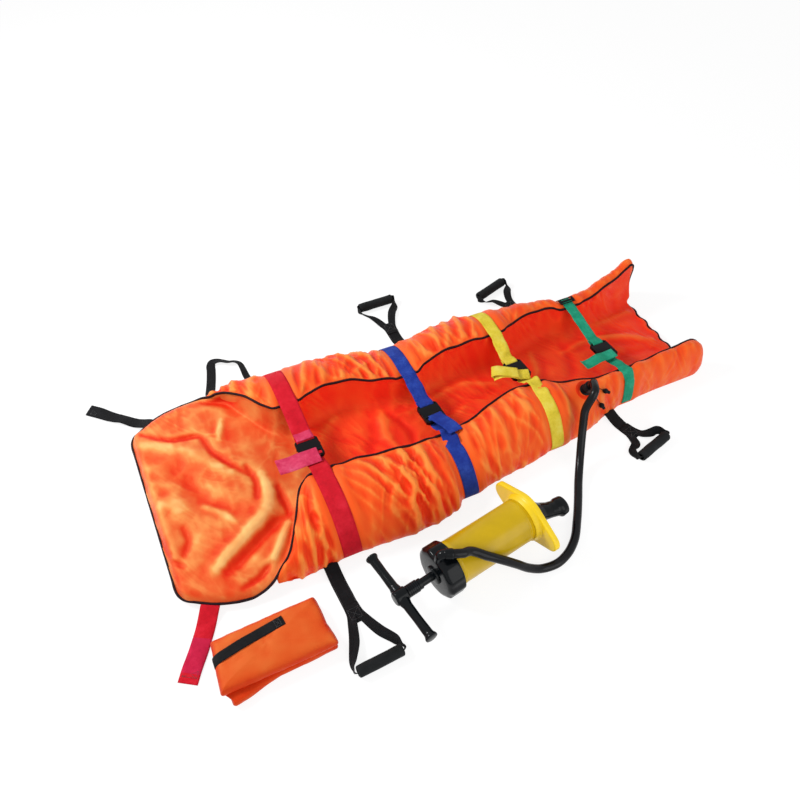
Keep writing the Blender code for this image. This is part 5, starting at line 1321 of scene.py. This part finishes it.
def makeLooseStrap(name, width, run, finish, stages):
    # stages: share of the run, sideways, rise, twist in degrees
    seam, along = jointAt(name + "_swing")
    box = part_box(name)
    middle = (Vector(box[0]) + Vector(box[1])) / 2
    ahead = Vector((middle.x - seam.x, middle.y - seam.y, 0.0)).normalized()
    up = Vector((0.0, 0.0, 1.0))
    side = up.cross(ahead)
    floor = handles["thickness"] / 2 + gap
    start = Vector((seam.x, seam.y, 0.0))
    points = [start - ahead * 0.004 + up * 0.0182, start + ahead * 0.006 + up * 0.0150]
    points += [start + ahead * run * share + side * shift + up * (floor + rise)
               for share, shift, rise, _ in stages]
    first = along if along.dot(side) > 0 else -along
    turns = [first, first.lerp(side, 0.6)]
    turns += [(side * math.cos(math.radians(twist)) + up * math.sin(math.radians(twist)))
              for *_, twist in stages]
    curve, turned = turnedLine(points, turns, 90)
    made = bandPiece(name + "_band", curve, turned, width, handles["thickness"],
                     crumple(0.0006, 33, 0.03, run))
    dress(made, finish, name + "_body", [name])
    body = name + "_body"
    end = Vector(curve[-6])
    lifted = up * (handles["thickness"] / 2 + 0.0006)
    boxStitch(body, end - ahead * 0.012, side, ahead, lifted, width * 0.7, 0.016)
    return made


def makeHeadLoop():
    seam, along = jointAt("head_loop_swing")
    up = Vector((0.0, 0.0, 1.0))
    ahead = up.cross(along)
    floor = handles["thickness"] / 2 + gap

    def at(x, d, z):
        return Vector((seam.x, seam.y, 0.0)) + along * x + ahead * d + up * z

    stages = [(-0.066, -0.006, 0.0205), (-0.065, 0.012, 0.013), (-0.058, 0.045, floor + 0.001),
              (-0.048, 0.085, floor), (-0.040, 0.124, floor), (-0.037, 0.142, floor + 0.001),
              (-0.030, 0.153, 0.0045), (-0.018, 0.154, 0.0060), (0.002, 0.146, 0.0075),
              (0.020, 0.134, 0.0090), (0.038, 0.130, 0.0080), (0.051, 0.119, 0.0070), (0.057, 0.094, 0.0060),
              (0.060, 0.060, floor + 0.002), (0.064, 0.030, 0.007), (0.066, 0.008, 0.015),
              (0.066, -0.006, 0.0205)]
    line = evenLine([at(*stage) for stage in stages], 110)
    flat = np.cross(unitRows(np.gradient(line, axis=0)), (0.0, 0.0, 1.0))
    share = np.linspace(0, 1, 110)
    lean = np.radians(np.interp(share, [0.0, 0.44, 0.52, 0.72, 0.86, 1.0], [0, 0, 26, 30, 12, 0]))[:, None]
    sides = flat * np.cos(lean) + np.array((0.0, 0.0, 1.0)) * np.sin(lean)
    wide = np.interp(share, [0.0, 0.40, 0.55, 1.0], [0.030, 0.029, 0.022, 0.024])
    made = bandPiece("head_loop_band", line, sides, wide, handles["thickness"],
                     crumple(0.0006, 37, 0.04, 0.32), step=0.003)
    dress(made, webbings["black"], "head_loop_body", ["head_loop"])


for number in (1, 2, 3, 4):
    makeHandle(number)
makeHeadLoop()
redStrap = makeLooseStrap("head_strap_red", 0.050, 0.195, webbings["red"], [
    (0.25, 0, 0.0, 2), (0.45, 0.001, 0.0015, 3), (0.62, 0.0, 0.0005, 0), (0.80, -0.002, 0.0015, -2),
    (1.0, -0.003, 0.0, 0),
])
redStrap.data.materials.append(webbings["paintedSheenRed"])
for face in redStrap.data.polygons:  # the outer part is painted paler, as painted sheen where light catches it
    run = redStrap.data.uv_layers["cut"].data[face.loop_indices[0]].uv[1]
    face.material_index = 1 if 0.085 < run < 0.175 else 0
makeLooseStrap("head_strap_black", 0.038, 0.210, webbings["black"], [
    (0.22, 0, 0.0010, 8), (0.42, 0.001, 0.0050, 16), (0.60, 0.002, 0.0030, 4), (0.80, 0.001, 0.0060, -10),
    (1.0, -0.001, 0.0035, -8),
])
print("handles")


# Pump

def turnedPiece(name, profile, segments=64, place=inPump, aim="X", loop=False):
    # a profile of stations and radii turned about the pump's own X, or another axis of it
    turns = fullTurn(segments)
    rings = []
    for x, radius in profile:
        ring = []
        for spot in zip(radius * np.cos(turns), radius * np.sin(turns)):
            spot = list(spot)
            spot.insert("XYZ".index(aim), x)
            ring.append(tuple(place(*spot)))
        rings.append(ring)
    if loop:
        rings.append(rings[0])
    made = gridMesh(name, rings, capStart=not loop, capEnd=not loop)
    if loop:
        closeUp(made, 1e-7)
    sharpEdges(made)
    return made


def rounded(profile, radius=0.0008):
    # the profile with each corner cut to a small round
    points = [Vector(point) for point in profile]
    made = [points[0]]
    for before, here, after in zip(points, points[1:], points[2:]):
        first, second = before - here, after - here
        reach = min(radius, first.length * 0.45, second.length * 0.45)
        start, stop = here + first.normalized() * reach, here + second.normalized() * reach
        for share in (0.0, 0.33, 0.67, 1.0):
            made.append(start.lerp(here, share).lerp(here.lerp(stop, share), share))
    made.append(points[-1])
    return [tuple(point) for point in made]


def tubePiece(name, line, radius, sides=16):
    # a round tube along a line; radius may be one value a point
    line = rowsOf(line)
    radius = np.broadcast_to(radius, len(line))
    along = unitRows(np.gradient(line, axis=0))
    side = Vector(along[0]).orthogonal().normalized()
    rings, turns = [], fullTurn(sides)
    for i, point in enumerate(line):
        ahead = Vector(along[i])
        side = (side - ahead * side.dot(ahead)).normalized()
        up = ahead.cross(side)
        rings.append(point + radius[i] * (np.outer(np.cos(turns), side) + np.outer(np.sin(turns), up)))
    return gridMesh(name, rings)


def blankRule(name, inputs, output):
    # a node tree that takes these sockets, the first one its geometry, and gives one geometry
    tree = bpy.data.node_groups.new(name, "GeometryNodeTree")
    for socket, kind in inputs:
        tree.interface.new_socket(socket, in_out="INPUT", socket_type="NodeSocket" + kind)
    tree.interface.new_socket(output, in_out="OUTPUT", socket_type="NodeSocketGeometry")
    return tree, addNode(tree, "NodeGroupInput").outputs


def giveOut(tree, geometry, material, output):
    # the tree's result, in this material
    finished = addNode(tree, "GeometryNodeSetMaterial", {"Geometry": geometry, "Material": material})
    addNode(tree, "NodeGroupOutput", {output: finished.outputs["Geometry"]})
    return tree


def stored(tree, name, kind="FLOAT"):
    return addNode(tree, "GeometryNodeInputNamedAttribute", {"Name": name},
                   data_type=kind).outputs["Attribute"]


def lobeTree():
    # draws a round part in between its lobes; "lobed" says how far each point takes part
    tree, given = blankRule("capLobes", [("Cap", "Geometry"), ("Lobes", "Float"), ("Depth", "Float")], "Cap")
    wave = maths(tree, "COSINE", maths(tree, "MULTIPLY", stored(tree, "turn"), given["Lobes"]))
    drawn = maths(tree, "MULTIPLY", maths(tree, "MULTIPLY_ADD", wave, -0.5, 0.5), given["Depth"])
    inward = maths(tree, "MULTIPLY", maths(tree, "MULTIPLY", drawn, stored(tree, "lobed")), -1.0)
    outward = stored(tree, "outward", "FLOAT_VECTOR")
    move = addNode(tree, "ShaderNodeVectorMath", {0: outward, "Scale": inward},
                   operation="SCALE").outputs["Vector"]
    moved = addNode(tree, "GeometryNodeSetPosition", {"Geometry": given["Cap"], "Offset": move})
    return giveOut(tree, moved.outputs["Geometry"], glossy, "Cap")


def applyTree(obj, tree, values):
    # runs a node tree on a piece with these named inputs and keeps its result as the mesh
    modifier = obj.modifiers.new("rule", "NODES")
    modifier.node_group = tree
    for item in tree.interface.items_tree:
        if item.in_out == "INPUT" and item.name in values:
            modifier[item.identifier] = values[item.name]
    workIn(obj)


def makeCap():
    radius = pump["capRadius"]
    profile = [(-0.006, 0.0118, 0), (-0.006, 0.0240, 0), (-0.0052, 0.0254, 0), (-0.004, pump["boss"], 0),
               (0.0, pump["boss"], 0), (0.0, radius - 0.016, 0.0), (0.0006, radius - 0.013, 0.05),
               (0.002, radius - 0.0085, 0.25), (0.004, radius - 0.005, 0.6), (0.0065, radius - 0.002, 0.9),
               (0.009, radius, 1.0), (0.020, radius, 1.0), (0.034, radius, 1.0), (0.045, radius, 1.0),
               (0.0475, radius - 0.0008, 0.8), (0.049, radius - 0.0018, 0.4), (0.050, radius - 0.004, 0.1),
               (0.050, pump["barrel"] + 0.0004, 0.0), (0.0124, pump["barrel"] + 0.0004, 0.0),
               (0.0124, 0.0118, 0.0)]
    cap = turnedPiece("cap", [(x, r) for x, r, _ in profile], 192, loop=True)
    points = readPoints(cap.data)
    back = Matrix.Rotation(-pump["heading"], 3, "Z")
    own = (points - np.array(pump["at"])) @ np.array(back.transposed())
    turn = np.arctan2(own[:, 1], -own[:, 2])
    reach = np.hypot(own[:, 1], own[:, 2])
    xs, rs, shares = (np.array(values) for values in zip(*profile))
    nearest = np.argmin(np.hypot(own[:, 0][:, None] - xs, reach[:, None] - rs), axis=1)
    storeValue(cap.data, "turn", turn)
    storeValue(cap.data, "lobed", shares[nearest])
    outward = np.stack([np.zeros(len(own)), own[:, 1], own[:, 2]], axis=1) / np.maximum(reach, 1e-6)[:, None]
    outward = outward @ np.array(Matrix.Rotation(pump["heading"], 3, "Z").transposed())
    layer = cap.data.attributes.new("outward", "FLOAT_VECTOR", "POINT")
    layer.data.foreach_set("vector", outward.astype(np.float32).ravel())
    applyTree(cap, lobeTree(), {"Lobes": float(pump["capLobes"]), "Depth": pump["lobeDepth"]})
    sharpEdges(cap)
    heading = pump["elbowHeading"]
    ahead = Vector((math.cos(heading), math.sin(heading), 0.0))
    top = radius + pump["hoseRise"]
    base = Vector((pump["elbowAt"], 0.0, 0.0))
    stages = [(0.0, radius - 0.010), (0.0, top - 0.014), (0.0015, top - 0.008), (0.006, top - 0.0025),
              (0.014, top), (0.024, top), (pump["elbowReach"], top)]
    line = [inPump(*(base + ahead * run + Vector((0, 0, rise)))) for run, rise in stages]
    curve = evenLine(line, 40)
    share = np.linspace(0, 1, 40)
    radii = 0.0124 + 0.0016 * (share > 0.62) - 0.0008 * (share > 0.97) + 0.0012 * ease(-share, -0.16, 0.0)
    elbow = tubePiece("elbow", curve, radii, 36)
    elbow.data.materials.append(glossy)
    whole = joinPieces("pump_cap_lobed", [cap, elbow])
    sharpEdges(dress(whole, glossy, stands=["pump_cap"]))


def plateOutline(grow):
    hub, tip = pump["capRadius"] + grow, pump["wingRadius"] + grow
    centre = pump["wingSpan"] / 2 - pump["wingRadius"]
    tangent = math.acos((hub - tip) / centre)
    points = []
    for start, stop, at, radius, count in (
        (-tangent, tangent, centre, tip, 28), (tangent, math.pi - tangent, 0.0, hub, 16),
        (math.pi - tangent, math.pi + tangent, -centre, tip, 28),
        (math.pi + tangent, 2 * math.pi - tangent, 0.0, hub, 16),
    ):
        for turn in np.linspace(start, stop, count, endpoint=False):
            points.append((at + radius * math.cos(turn), radius * math.sin(turn)))
    return points


def makeBase():
    front, back = pump["length"], pump["length"] + pump["plate"]
    rings = []
    for x, grow in ((front, -0.010), (front, -0.0035), (front + 0.0004, -0.0018), (front + 0.0014, -0.0006),
                    (front + 0.003, 0.0), (back - 0.0016, 0.0), (back - 0.0004, -0.0006), (back, -0.0014),
                    (back, -0.0034), (back - 0.0005, -0.0040), (front + 0.0046, -0.0042),
                    (front + 0.004, -0.006)):
        rings.append([tuple(inPump(x, y, z)) for y, z in plateOutline(grow)])
    plate = gridMesh("plate", rings)
    bore = pump["barrel"] + 0.0004
    skirt = [(front - 0.014, bore), (front - 0.014, bore + 0.0030), (front - 0.0132, bore + 0.0038),
             (front - 0.004, bore + 0.0056), (front - 0.001, bore + 0.0078), (front + 0.001, bore + 0.0100),
             (front + 0.001, bore)]
    collar = turnedPiece("collar", skirt, 96, loop=True)
    hub = turnedPiece("hub", rounded([(front + 0.003, 0.017), (front + 0.003, pump["plateHub"]),
                                      (back, pump["plateHub"]), (back, 0.017)]), 96, loop=True)
    pieces = [plate, collar, hub]
    for sign in (-1, 1):  # ribs behind the wings
        for z in (-0.016, 0.0, 0.016):
            reach = pump["wingSpan"] / 2 - (0.008 if z == 0 else 0.020)
            corners = [(x, sign * y, z + t) for x in (front + 0.003, back - 0.0012)
                       for y, t in ((0.040, -0.0014), (reach, -0.0012), (reach, 0.0012), (0.040, 0.0014))]
            rings = [[tuple(inPump(*corner)) for corner in end] for end in (corners[:4], corners[4:])]
            pieces.append(gridMesh("rib", rings))
    whole = closeUp(joinPieces("pump_foot", pieces))
    sharpEdges(dress(whole, yellowPlastic, stands=["pump_base"]))


def makePump():
    start, stop, radius = 0.0124, pump["length"] - 0.0004, pump["barrel"]
    inner = radius - pump["wall"]
    profile = [(start, inner), (start, radius)]
    proud = radius + 0.0005
    for x in (0.058, 0.0625, 0.272, 0.2765):  # raised bands near both ends of the barrel
        profile += [(x - 0.0012, radius), (x - 0.0006, proud), (x + 0.0006, proud), (x + 0.0012, radius)]
    profile += [(stop, radius), (stop, inner)]
    barrel = turnedPiece("barrel", profile, 128, loop=True)
    dress(barrel, olivePlastic, stands=["pump_barrel"])
    makeCap()
    makeBase()
    begin = pump["length"] + pump["plate"] + gap
    table = np.array(pump["inlet"])
    shares = np.linspace(0, 1, 40)
    radii = np.interp(shares, table[:, 0], table[:, 1])
    shift = np.interp(shares, table[:, 0], table[:, 2])
    aside, down = pump["inletShift"]
    turns = fullTurn(56)
    radii[[0, -1]] -= 0.0008  # both rims are a little rounded
    stages = list(zip(shares, radii, shift))
    bore = pump["inletBore"]
    stages += [(1.0, 0.0225, 1), (0.995, bore + 0.001, 1), (0.97, bore, 1), (0.66, bore * 0.94, 1)]
    rings = []
    for share, r, s in stages:
        x, y, z = begin + share * pump["inletReach"], aside * s, down * s
        rings.append([tuple(inPump(x, y + r * math.cos(turn), z + r * math.sin(turn))) for turn in turns])
    inlet = gridMesh("inlet", rings)
    sharpEdges(dress(inlet, glossy, stands=["pump_inlet"]), 42)
    tip, collar, thick = pump["tip"], pump["collar"], pump["rod"]
    hubFace = tip - pump["collarLength"]
    profile = [(hubFace - 0.004, 0.0008), (hubFace - 0.004, thick), (hubFace + gap, thick),
               (hubFace + gap, collar - 0.0008), (hubFace + 0.0010, collar)]
    for k in range(5):  # moulded rings of the collar
        x = hubFace + 0.005 + 0.0055 * k
        profile += [(x, collar), (x + 0.0006, collar - 0.0009), (x + 0.0018, collar - 0.0009),
                    (x + 0.0024, collar)]
    profile += [(tip - 0.012, collar), (tip - 0.010, collar - 0.002), (tip - 0.0008, collar - 0.002),
                (tip, collar - 0.003), (tip, thick)]
    profile += [(x, thick) for x in np.linspace(tip + 0.005, 0.20, 12)]
    rod = turnedPiece("rod", profile, 40)
    dress(rod, glossy, "plunger", ["pump_rod"])
    half, thin, flare = pump["handleSpan"] / 2, pump["handleRadius"], pump["flare"]
    centre = hubFace - pump["hubLength"] / 2
    side = [(half, 0.0008), (half, flare - 0.002), (half - 0.0006, flare - 0.0006), (half - 0.002, flare),
            (half - 0.005, flare), (half - 0.008, flare - 0.0014), (half - 0.013, thin + 0.0004),
            (half - 0.018, thin)]
    for y in np.linspace(half - 0.022, 0.034, 16):  # a slight waist
        side.append((y, thin - 0.0007 * math.sin(math.pi * (half - 0.018 - y) / 0.080) ** 2))
    side += [(0.031, thin), (0.028, thin + 0.0008), (0.024, thin + 0.0018), (0.018, thin + 0.0030)]
    profile = [(-y, r) for y, r in side] + [(y, r) for y, r in reversed(side)]
    bar = turnedPiece("bar", profile, 48, place=lambda x, y, z: inPump(centre + x, y, z), aim="Y")
    front = hubFace - pump["hubLength"]
    size = pump["hub"]
    profile = [(front, 0.0008), (front, size - 0.004), (front + 0.004, size), (hubFace - 0.003, size),
               (hubFace, size - 0.002), (hubFace, 0.0008)]
    hub = turnedPiece("hub", rounded(profile, 0.0016), 48)
    whole = joinPieces("pump_grip", [bar, hub])
    sharpEdges(dress(whole, glossy, "plunger", ["pump_handle"]))
    for name in ("pump_piston", "piston_seal"):
        frame["nodes"][name].data.materials.clear()
        frame["nodes"][name].data.materials.append(plastic)


makePump()
print("pump")


# Valve, hose end and stoppers

def makeValve():
    low = -0.003 + gap
    top = low + 0.002
    dome = [(low, 0.030), (low + 0.001, 0.0301), (top - 0.0002, 0.0296), (top, 0.0285)]
    dome += [(top + 0.0003 * math.sin(k / 2), 0.0285 - 0.0011 * k) for k in range(1, 9)]
    dome += [(top, 0.0008)]
    patch = turnedPiece("patch", [(low, 0.0008)] + dome, 72, place=inValve, aim="Z")
    dress(patch, outerCloth, stands=["valve_patch"])
    foot = top + gap
    body = [(foot, 0.006), (foot, 0.0172), (foot + 0.0006, 0.018), (foot + 0.0022, 0.018),
            (foot + 0.003, 0.0170), (foot + 0.0036, 0.0122), (foot + 0.0044, 0.011)]
    for k in range(3):
        body += [(foot + 0.0085 + 0.0018 * k, 0.011), (foot + 0.0092 + 0.0018 * k, 0.0106)]
    body += [(0.0232, 0.011), (0.024, 0.0104), (0.024, 0.006)]
    valveBody = turnedPiece("valve_stem", body, 48, place=inValve, aim="Z", loop=True)
    dress(valveBody, plastic, stands=["valve_body"])
    outer = [(0.0140, 0.0114), (0.0140, 0.0146), (0.0148, 0.0154)]
    for k in range(6):
        z = 0.0165 + 0.0027 * k
        outer += [(z, 0.0155), (z + 0.0006, 0.0146), (z + 0.0014, 0.0146), (z + 0.0020, 0.0155)]
    outer += [(0.0346, 0.0155), (0.0355, 0.0148), (0.036, 0.0138), (0.036, 0.006), (0.0244, 0.006),
              (0.0244, 0.0114)]
    fitting = turnedPiece("hose_end", outer, 60, place=inValve, aim="Z", loop=True)
    dress(fitting, glossy, stands=["hose_fitting"])
    return fitting


hoseEnd = makeValve()
for name in ("valve_stopper", "release_stopper"):
    mould(name + "_soft", name, 0.0004)
print("valve")


# Piping round the sewn edge

def makePiping():
    length = mattress["length"]
    loop = [(s, -across, height) for s, across, height in reversed(weltSide("near"))]
    loop += [(-0.0010, y, mattress["edgeHeight"]) for y in np.linspace(-0.255, 0.258, 14)]
    loop += [tuple(row) for row in weltSide("far")]

    def endRound(side, sign):
        points = []
        ends = np.array(mattress[side + "End"][:-1])
        for past in np.linspace(0, ends[-1, 0], 6)[1:]:
            across, height = rollSection(side, length, "outside",
                                         float(smoothThrough(ends[:, 0], ends[:, 1], [past])[0]))[0]
            points.append((length + past, sign * across, height))
        _, inner, height = rollSizes(side, length)
        last = ends[-1, 0]
        points += [(length + last, sign * (inner + 0.012), 0.48 * height),
                   (length + 0.014, sign * (inner + 0.004), 0.26 * height),
                   (length + 0.002, sign * (inner - 0.016), 0.018)]
        return points

    farEnd, nearEnd = endRound("far", 1), endRound("near", -1)
    foot = np.linspace(farEnd[-1][1], nearEnd[-1][1], 44)[1:-1]
    depth, pitch = mattress["footGather"]
    drawn = [(length + 0.0022 + depth * (math.cos(2 * math.pi * y / pitch) - 1) * 0.9, y, 0.0185)
             for y in foot]
    loop += farEnd + drawn + nearEnd[::-1]
    loop = np.array([(placeX(s), y, z) for s, y, z in loop])
    closed = np.vstack([loop[-4:], loop, loop[:4]])
    runs, step = runLengths(closed), 0.004
    line = smoothThrough(runs, closed, np.arange(runs[4], runs[-4], step))
    run = np.arange(len(line)) * step
    still = np.zeros_like(run)
    line[:, 2] += 0.0008 * softNoise(run, still, 0.035, 3)
    line[:, 1] += 0.0010 * softNoise(run, still + 4.0, 0.030, 4)
    radius = mattress["pipingRadius"] * (0.94 + 0.05 * softNoise(run, still + 9.0, 0.012, 6))
    tube = tubePiece("piping", line, radius, 12)
    made, tree, shader = blankFinish("pipingCloth", Roughness=0.6, Specular_IOR_Level=0.12)
    paint(tree, shader, objectNoise(tree, 55.0, 4.0), [
        (0.3, (0.006, 0.002, 0.004)), (0.6, (0.018, 0.003, 0.006)), (0.85, (0.060, 0.008, 0.010)),
    ])
    addBump(tree, shader, objectNoise(tree, 700.0, 2.0), 0.0003, 0.7)
    dress(tube, made, stands=["edge_piping"])


makePiping()
print("piping")


# Carry pouch

pouch = {
    "corners": [(0.040, -0.432), (0.314, -0.424), (0.326, -0.568), (0.036, -0.574)],
    "height": 0.054, "corner": 0.008, "pullReach": 0.085,
    "strapWidth": 0.026, "strapEnd": (0.222, -0.462), "strapFoot": 0.60,
    # share of the height and how far in the side lies there
    "side": [(0.0, 0.012), (0.04, 0.006), (0.10, 0.0028), (0.18, 0.0006), (0.24, 0.0), (0.32, 0.0008),
             (0.38, 0.0026), (0.43, 0.0060), (0.46, 0.0088), (0.49, 0.0056), (0.53, 0.0026), (0.58, 0.0008),
             (0.64, 0.0010), (0.72, 0.0024), (0.80, 0.0050), (0.87, 0.0092), (0.93, 0.0156), (0.965, 0.025)],
}


def onPlan(station, across):
    return Vector((placeX(station), across, 0.0))


def pouchRing(inset):
    corners = [onPlan(*corner).xy for corner in pouch["corners"]]
    points = []
    for k, corner in enumerate(corners):
        before = (corners[k - 1] - corner).normalized()
        after = (corners[(k + 1) % 4] - corner).normalized()
        radius = pouch["corner"]
        middle = (before + after).normalized()
        half = before.angle(after) / 2
        centre = corner + middle * (radius / math.sin(half))
        turn = math.pi - 2 * half
        for j in range(9):
            direction = Matrix.Rotation(turn / 2 - turn * j / 8, 2) @ -middle
            place = centre + direction * max(radius - inset, 0.0012)
            points.append(place + middle * max(inset - radius, 0.0) * 1.25)
    ring = []
    for a, b in zip(points, points[1:] + points[:1]):
        steps = 14 if (b - a).length > 0.03 else 1
        ring += [a.lerp(b, j / steps) for j in range(steps)]
    return ring


def finePouch(x, y, height):
    return 0.0005 * softNoise(x, y + height, 0.012, 66) * (0.4 + ease(-height, -0.050, -0.040))


def makePouch():
    rings = []
    corner = onPlan(*pouch["corners"][3]).xy
    for share, inset in pouch["side"]:
        ring = []
        pull = Vector((0.012, -0.023)) if share < 0.46 else Vector((-0.008, 0.002))
        for point in pouchRing(inset):
            # the lower fold sticks out at one corner
            point = point + pull * math.exp(-(((point - corner).length / pouch["pullReach"]) ** 2))
            ring.append((point.x, point.y, share * pouch["height"]))
        rings.append(ring)
    rim = np.array(rings[-1])
    middle = rim.mean(axis=0)
    for share in np.linspace(0.92, 0.04, 18):
        ring = middle + (rim - middle) * share
        ring[:, 2] = pouch["height"] * (0.965 + 0.075 * (1 - share**2.2))
        rings.append(ring.tolist())
    obj = gridMesh("pouch_bag", rings, cut=np.array(rings)[:, :, :2])
    points = readPoints(obj.data)
    normals = pointNormals(obj.data)
    x, y, z = points.T
    lift = 0.0016 * softNoise(x, y + z, 0.045, 61) + 0.0009 * softNoise(x + z, y, 0.020, 62)
    ridge = np.abs(softNoise(x * 0.9 + y * 0.5, y - x * 0.3 + z, 0.032, 64))
    lift += 0.0022 * (1 - ridge * 3).clip(0, 1) * ease(-z, -0.050, -0.010)
    lift *= ease(z, 0.001, 0.010)
    writePoints(obj.data, points + normals * lift[:, None])
    finishCloth(obj, lift, 0.0050, {"x": x, "y": y, "height": z}, finePouch)
    height = readPoints(obj.data)[:, 2]
    # painted shade: the sides and the crease at the notch are drawn redder, as the shade on them
    notch = np.exp(-(((height - 0.46 * pouch["height"]) / 0.004) ** 2))
    paintedShade = 0.42 * ease(-height, -0.052, -0.042) + 0.35 * notch  # the sides lie in the sheen's shade
    storeValue(obj.data, "fold", np.clip(readValue(obj.data, "fold") - paintedShade, 0, 1))
    dress(obj, pouchCloth, stands=["pouch"])
    return obj


# the stops run from painted shade in the valleys to painted highlight on the crests
pouchCloth = fabricFinish("pouchCloth", [
    (0.10, (0.66, 0.026, 0.005)), (0.42, (0.72, 0.090, 0.016)), (0.62, (0.76, 0.155, 0.032)),
    (0.88, (0.86, 0.30, 0.085)),
])


def makePouchStrap(bag):
    tree = BVHTree.FromObject(bag, bpy.context.evaluated_depsgraph_get())
    low, high = (onPlan(*pouch["corners"][k]) for k in (3, 0))
    foot = low.lerp(high, pouch["strapFoot"])
    end = onPlan(*pouch["strapEnd"])
    inward = (end - foot).normalized()
    lift = band["thickness"] / 2 + 2 * gap
    points = []
    for z in np.linspace(0.006, pouch["height"] * 0.9, 9):
        hit = tree.ray_cast(Vector((foot.x, foot.y, z)) - inward * 0.05, inward)
        points.append(hit[0] - inward * lift if hit[0] else foot + Vector((0, 0, z)))
    reach = (end - foot).length
    for share in np.linspace(0.10, 1.0, 16):
        place = foot + inward * reach * share
        hit = tree.ray_cast(Vector((place.x, place.y, 0.2)), Vector((0, 0, -1)))
        points.append(hit[0] + Vector((0, 0, lift)))
    line = evenLine(points, 90)
    edge = (low - high).normalized()
    flat = Vector((inward.y, -inward.x, 0.0))
    sides = [edge.lerp(flat, float(ease(share, 0.1, 0.5))) for share in np.linspace(0, 1, 90)]
    made = bandPiece("pouch_band", line, sides, pouch["strapWidth"], ripple=crumple(0.0004, 15, 0.05, 0.2))
    dress(made, webbings["black"], stands=["pouch_strap"])
    tip = Vector(line[-4])
    boxStitch("mattress", tip - inward * 0.008, flat, inward, Vector((0, 0, 0.0014)), 0.019, 0.014)


pouchBag = makePouch()
makePouchStrap(pouchBag)
print("pouch")


# Thread

def stitchTree():
    # lays short threads end to end along every seam line
    tree, given = blankRule("stitchRow", [
        ("Seams", "Geometry"), ("Spacing", "Float"), ("Thread length", "Float"), ("Thread radius", "Float"),
        ("Thread", "Material"),
    ], "Stitches")
    line = addNode(tree, "GeometryNodeMeshToCurve", {"Mesh": given["Seams"]}).outputs["Curve"]
    spots = {"Curve": line, "Length": given["Spacing"]}
    places = addNode(tree, "GeometryNodeResampleCurve", spots, mode="LENGTH").outputs["Curve"]
    size = {"Vertices": 6, "Radius": given["Thread radius"], "Depth": given["Thread length"]}
    thread = addNode(tree, "GeometryNodeMeshCylinder", size, fill_type="TRIANGLE_FAN").outputs["Mesh"]
    tangent = addNode(tree, "GeometryNodeInputTangent").outputs["Tangent"]
    aim = addNode(tree, "FunctionNodeAlignRotationToVector", {"Vector": tangent},
                  axis="Z").outputs["Rotation"]
    laid = {"Points": places, "Instance": thread, "Rotation": aim}
    rows = addNode(tree, "GeometryNodeInstanceOnPoints", laid).outputs["Instances"]
    real = addNode(tree, "GeometryNodeRealizeInstances", {"Geometry": rows})
    return giveOut(tree, real.outputs["Geometry"], given["Thread"], "Stitches")


def makeStitches():
    tree = stitchTree()
    thread, nodes, shader = blankFinish("thread", Roughness=0.5, Sheen_Weight=0.3)
    twist = objectNoise(nodes, 900.0, 2.0)
    paint(nodes, shader, twist, [(0.3, (0.008, 0.008, 0.009)), (0.7, (0.035, 0.035, 0.04))])
    addBump(nodes, shader, twist, 0.0002)
    for body, lines in stitching.items():
        mesh = bpy.data.meshes.new("stitches_" + body)
        points, edges = [], []
        for line in lines:
            first = len(points)
            points += line.tolist()
            edges += [(first + i, first + i + 1) for i in range(len(line) - 1)]
        mesh.from_pydata(points, edges, [])
        rows = link(bpy.data.objects.new("stitches_" + body, mesh))
        applyTree(rows, tree, {"Spacing": 0.0042, "Thread length": 0.0030, "Thread radius": 0.00045,
                               "Thread": thread})
        rows.data.shade_smooth()
        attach(rows, body)


makeStitches()
print("stitches")
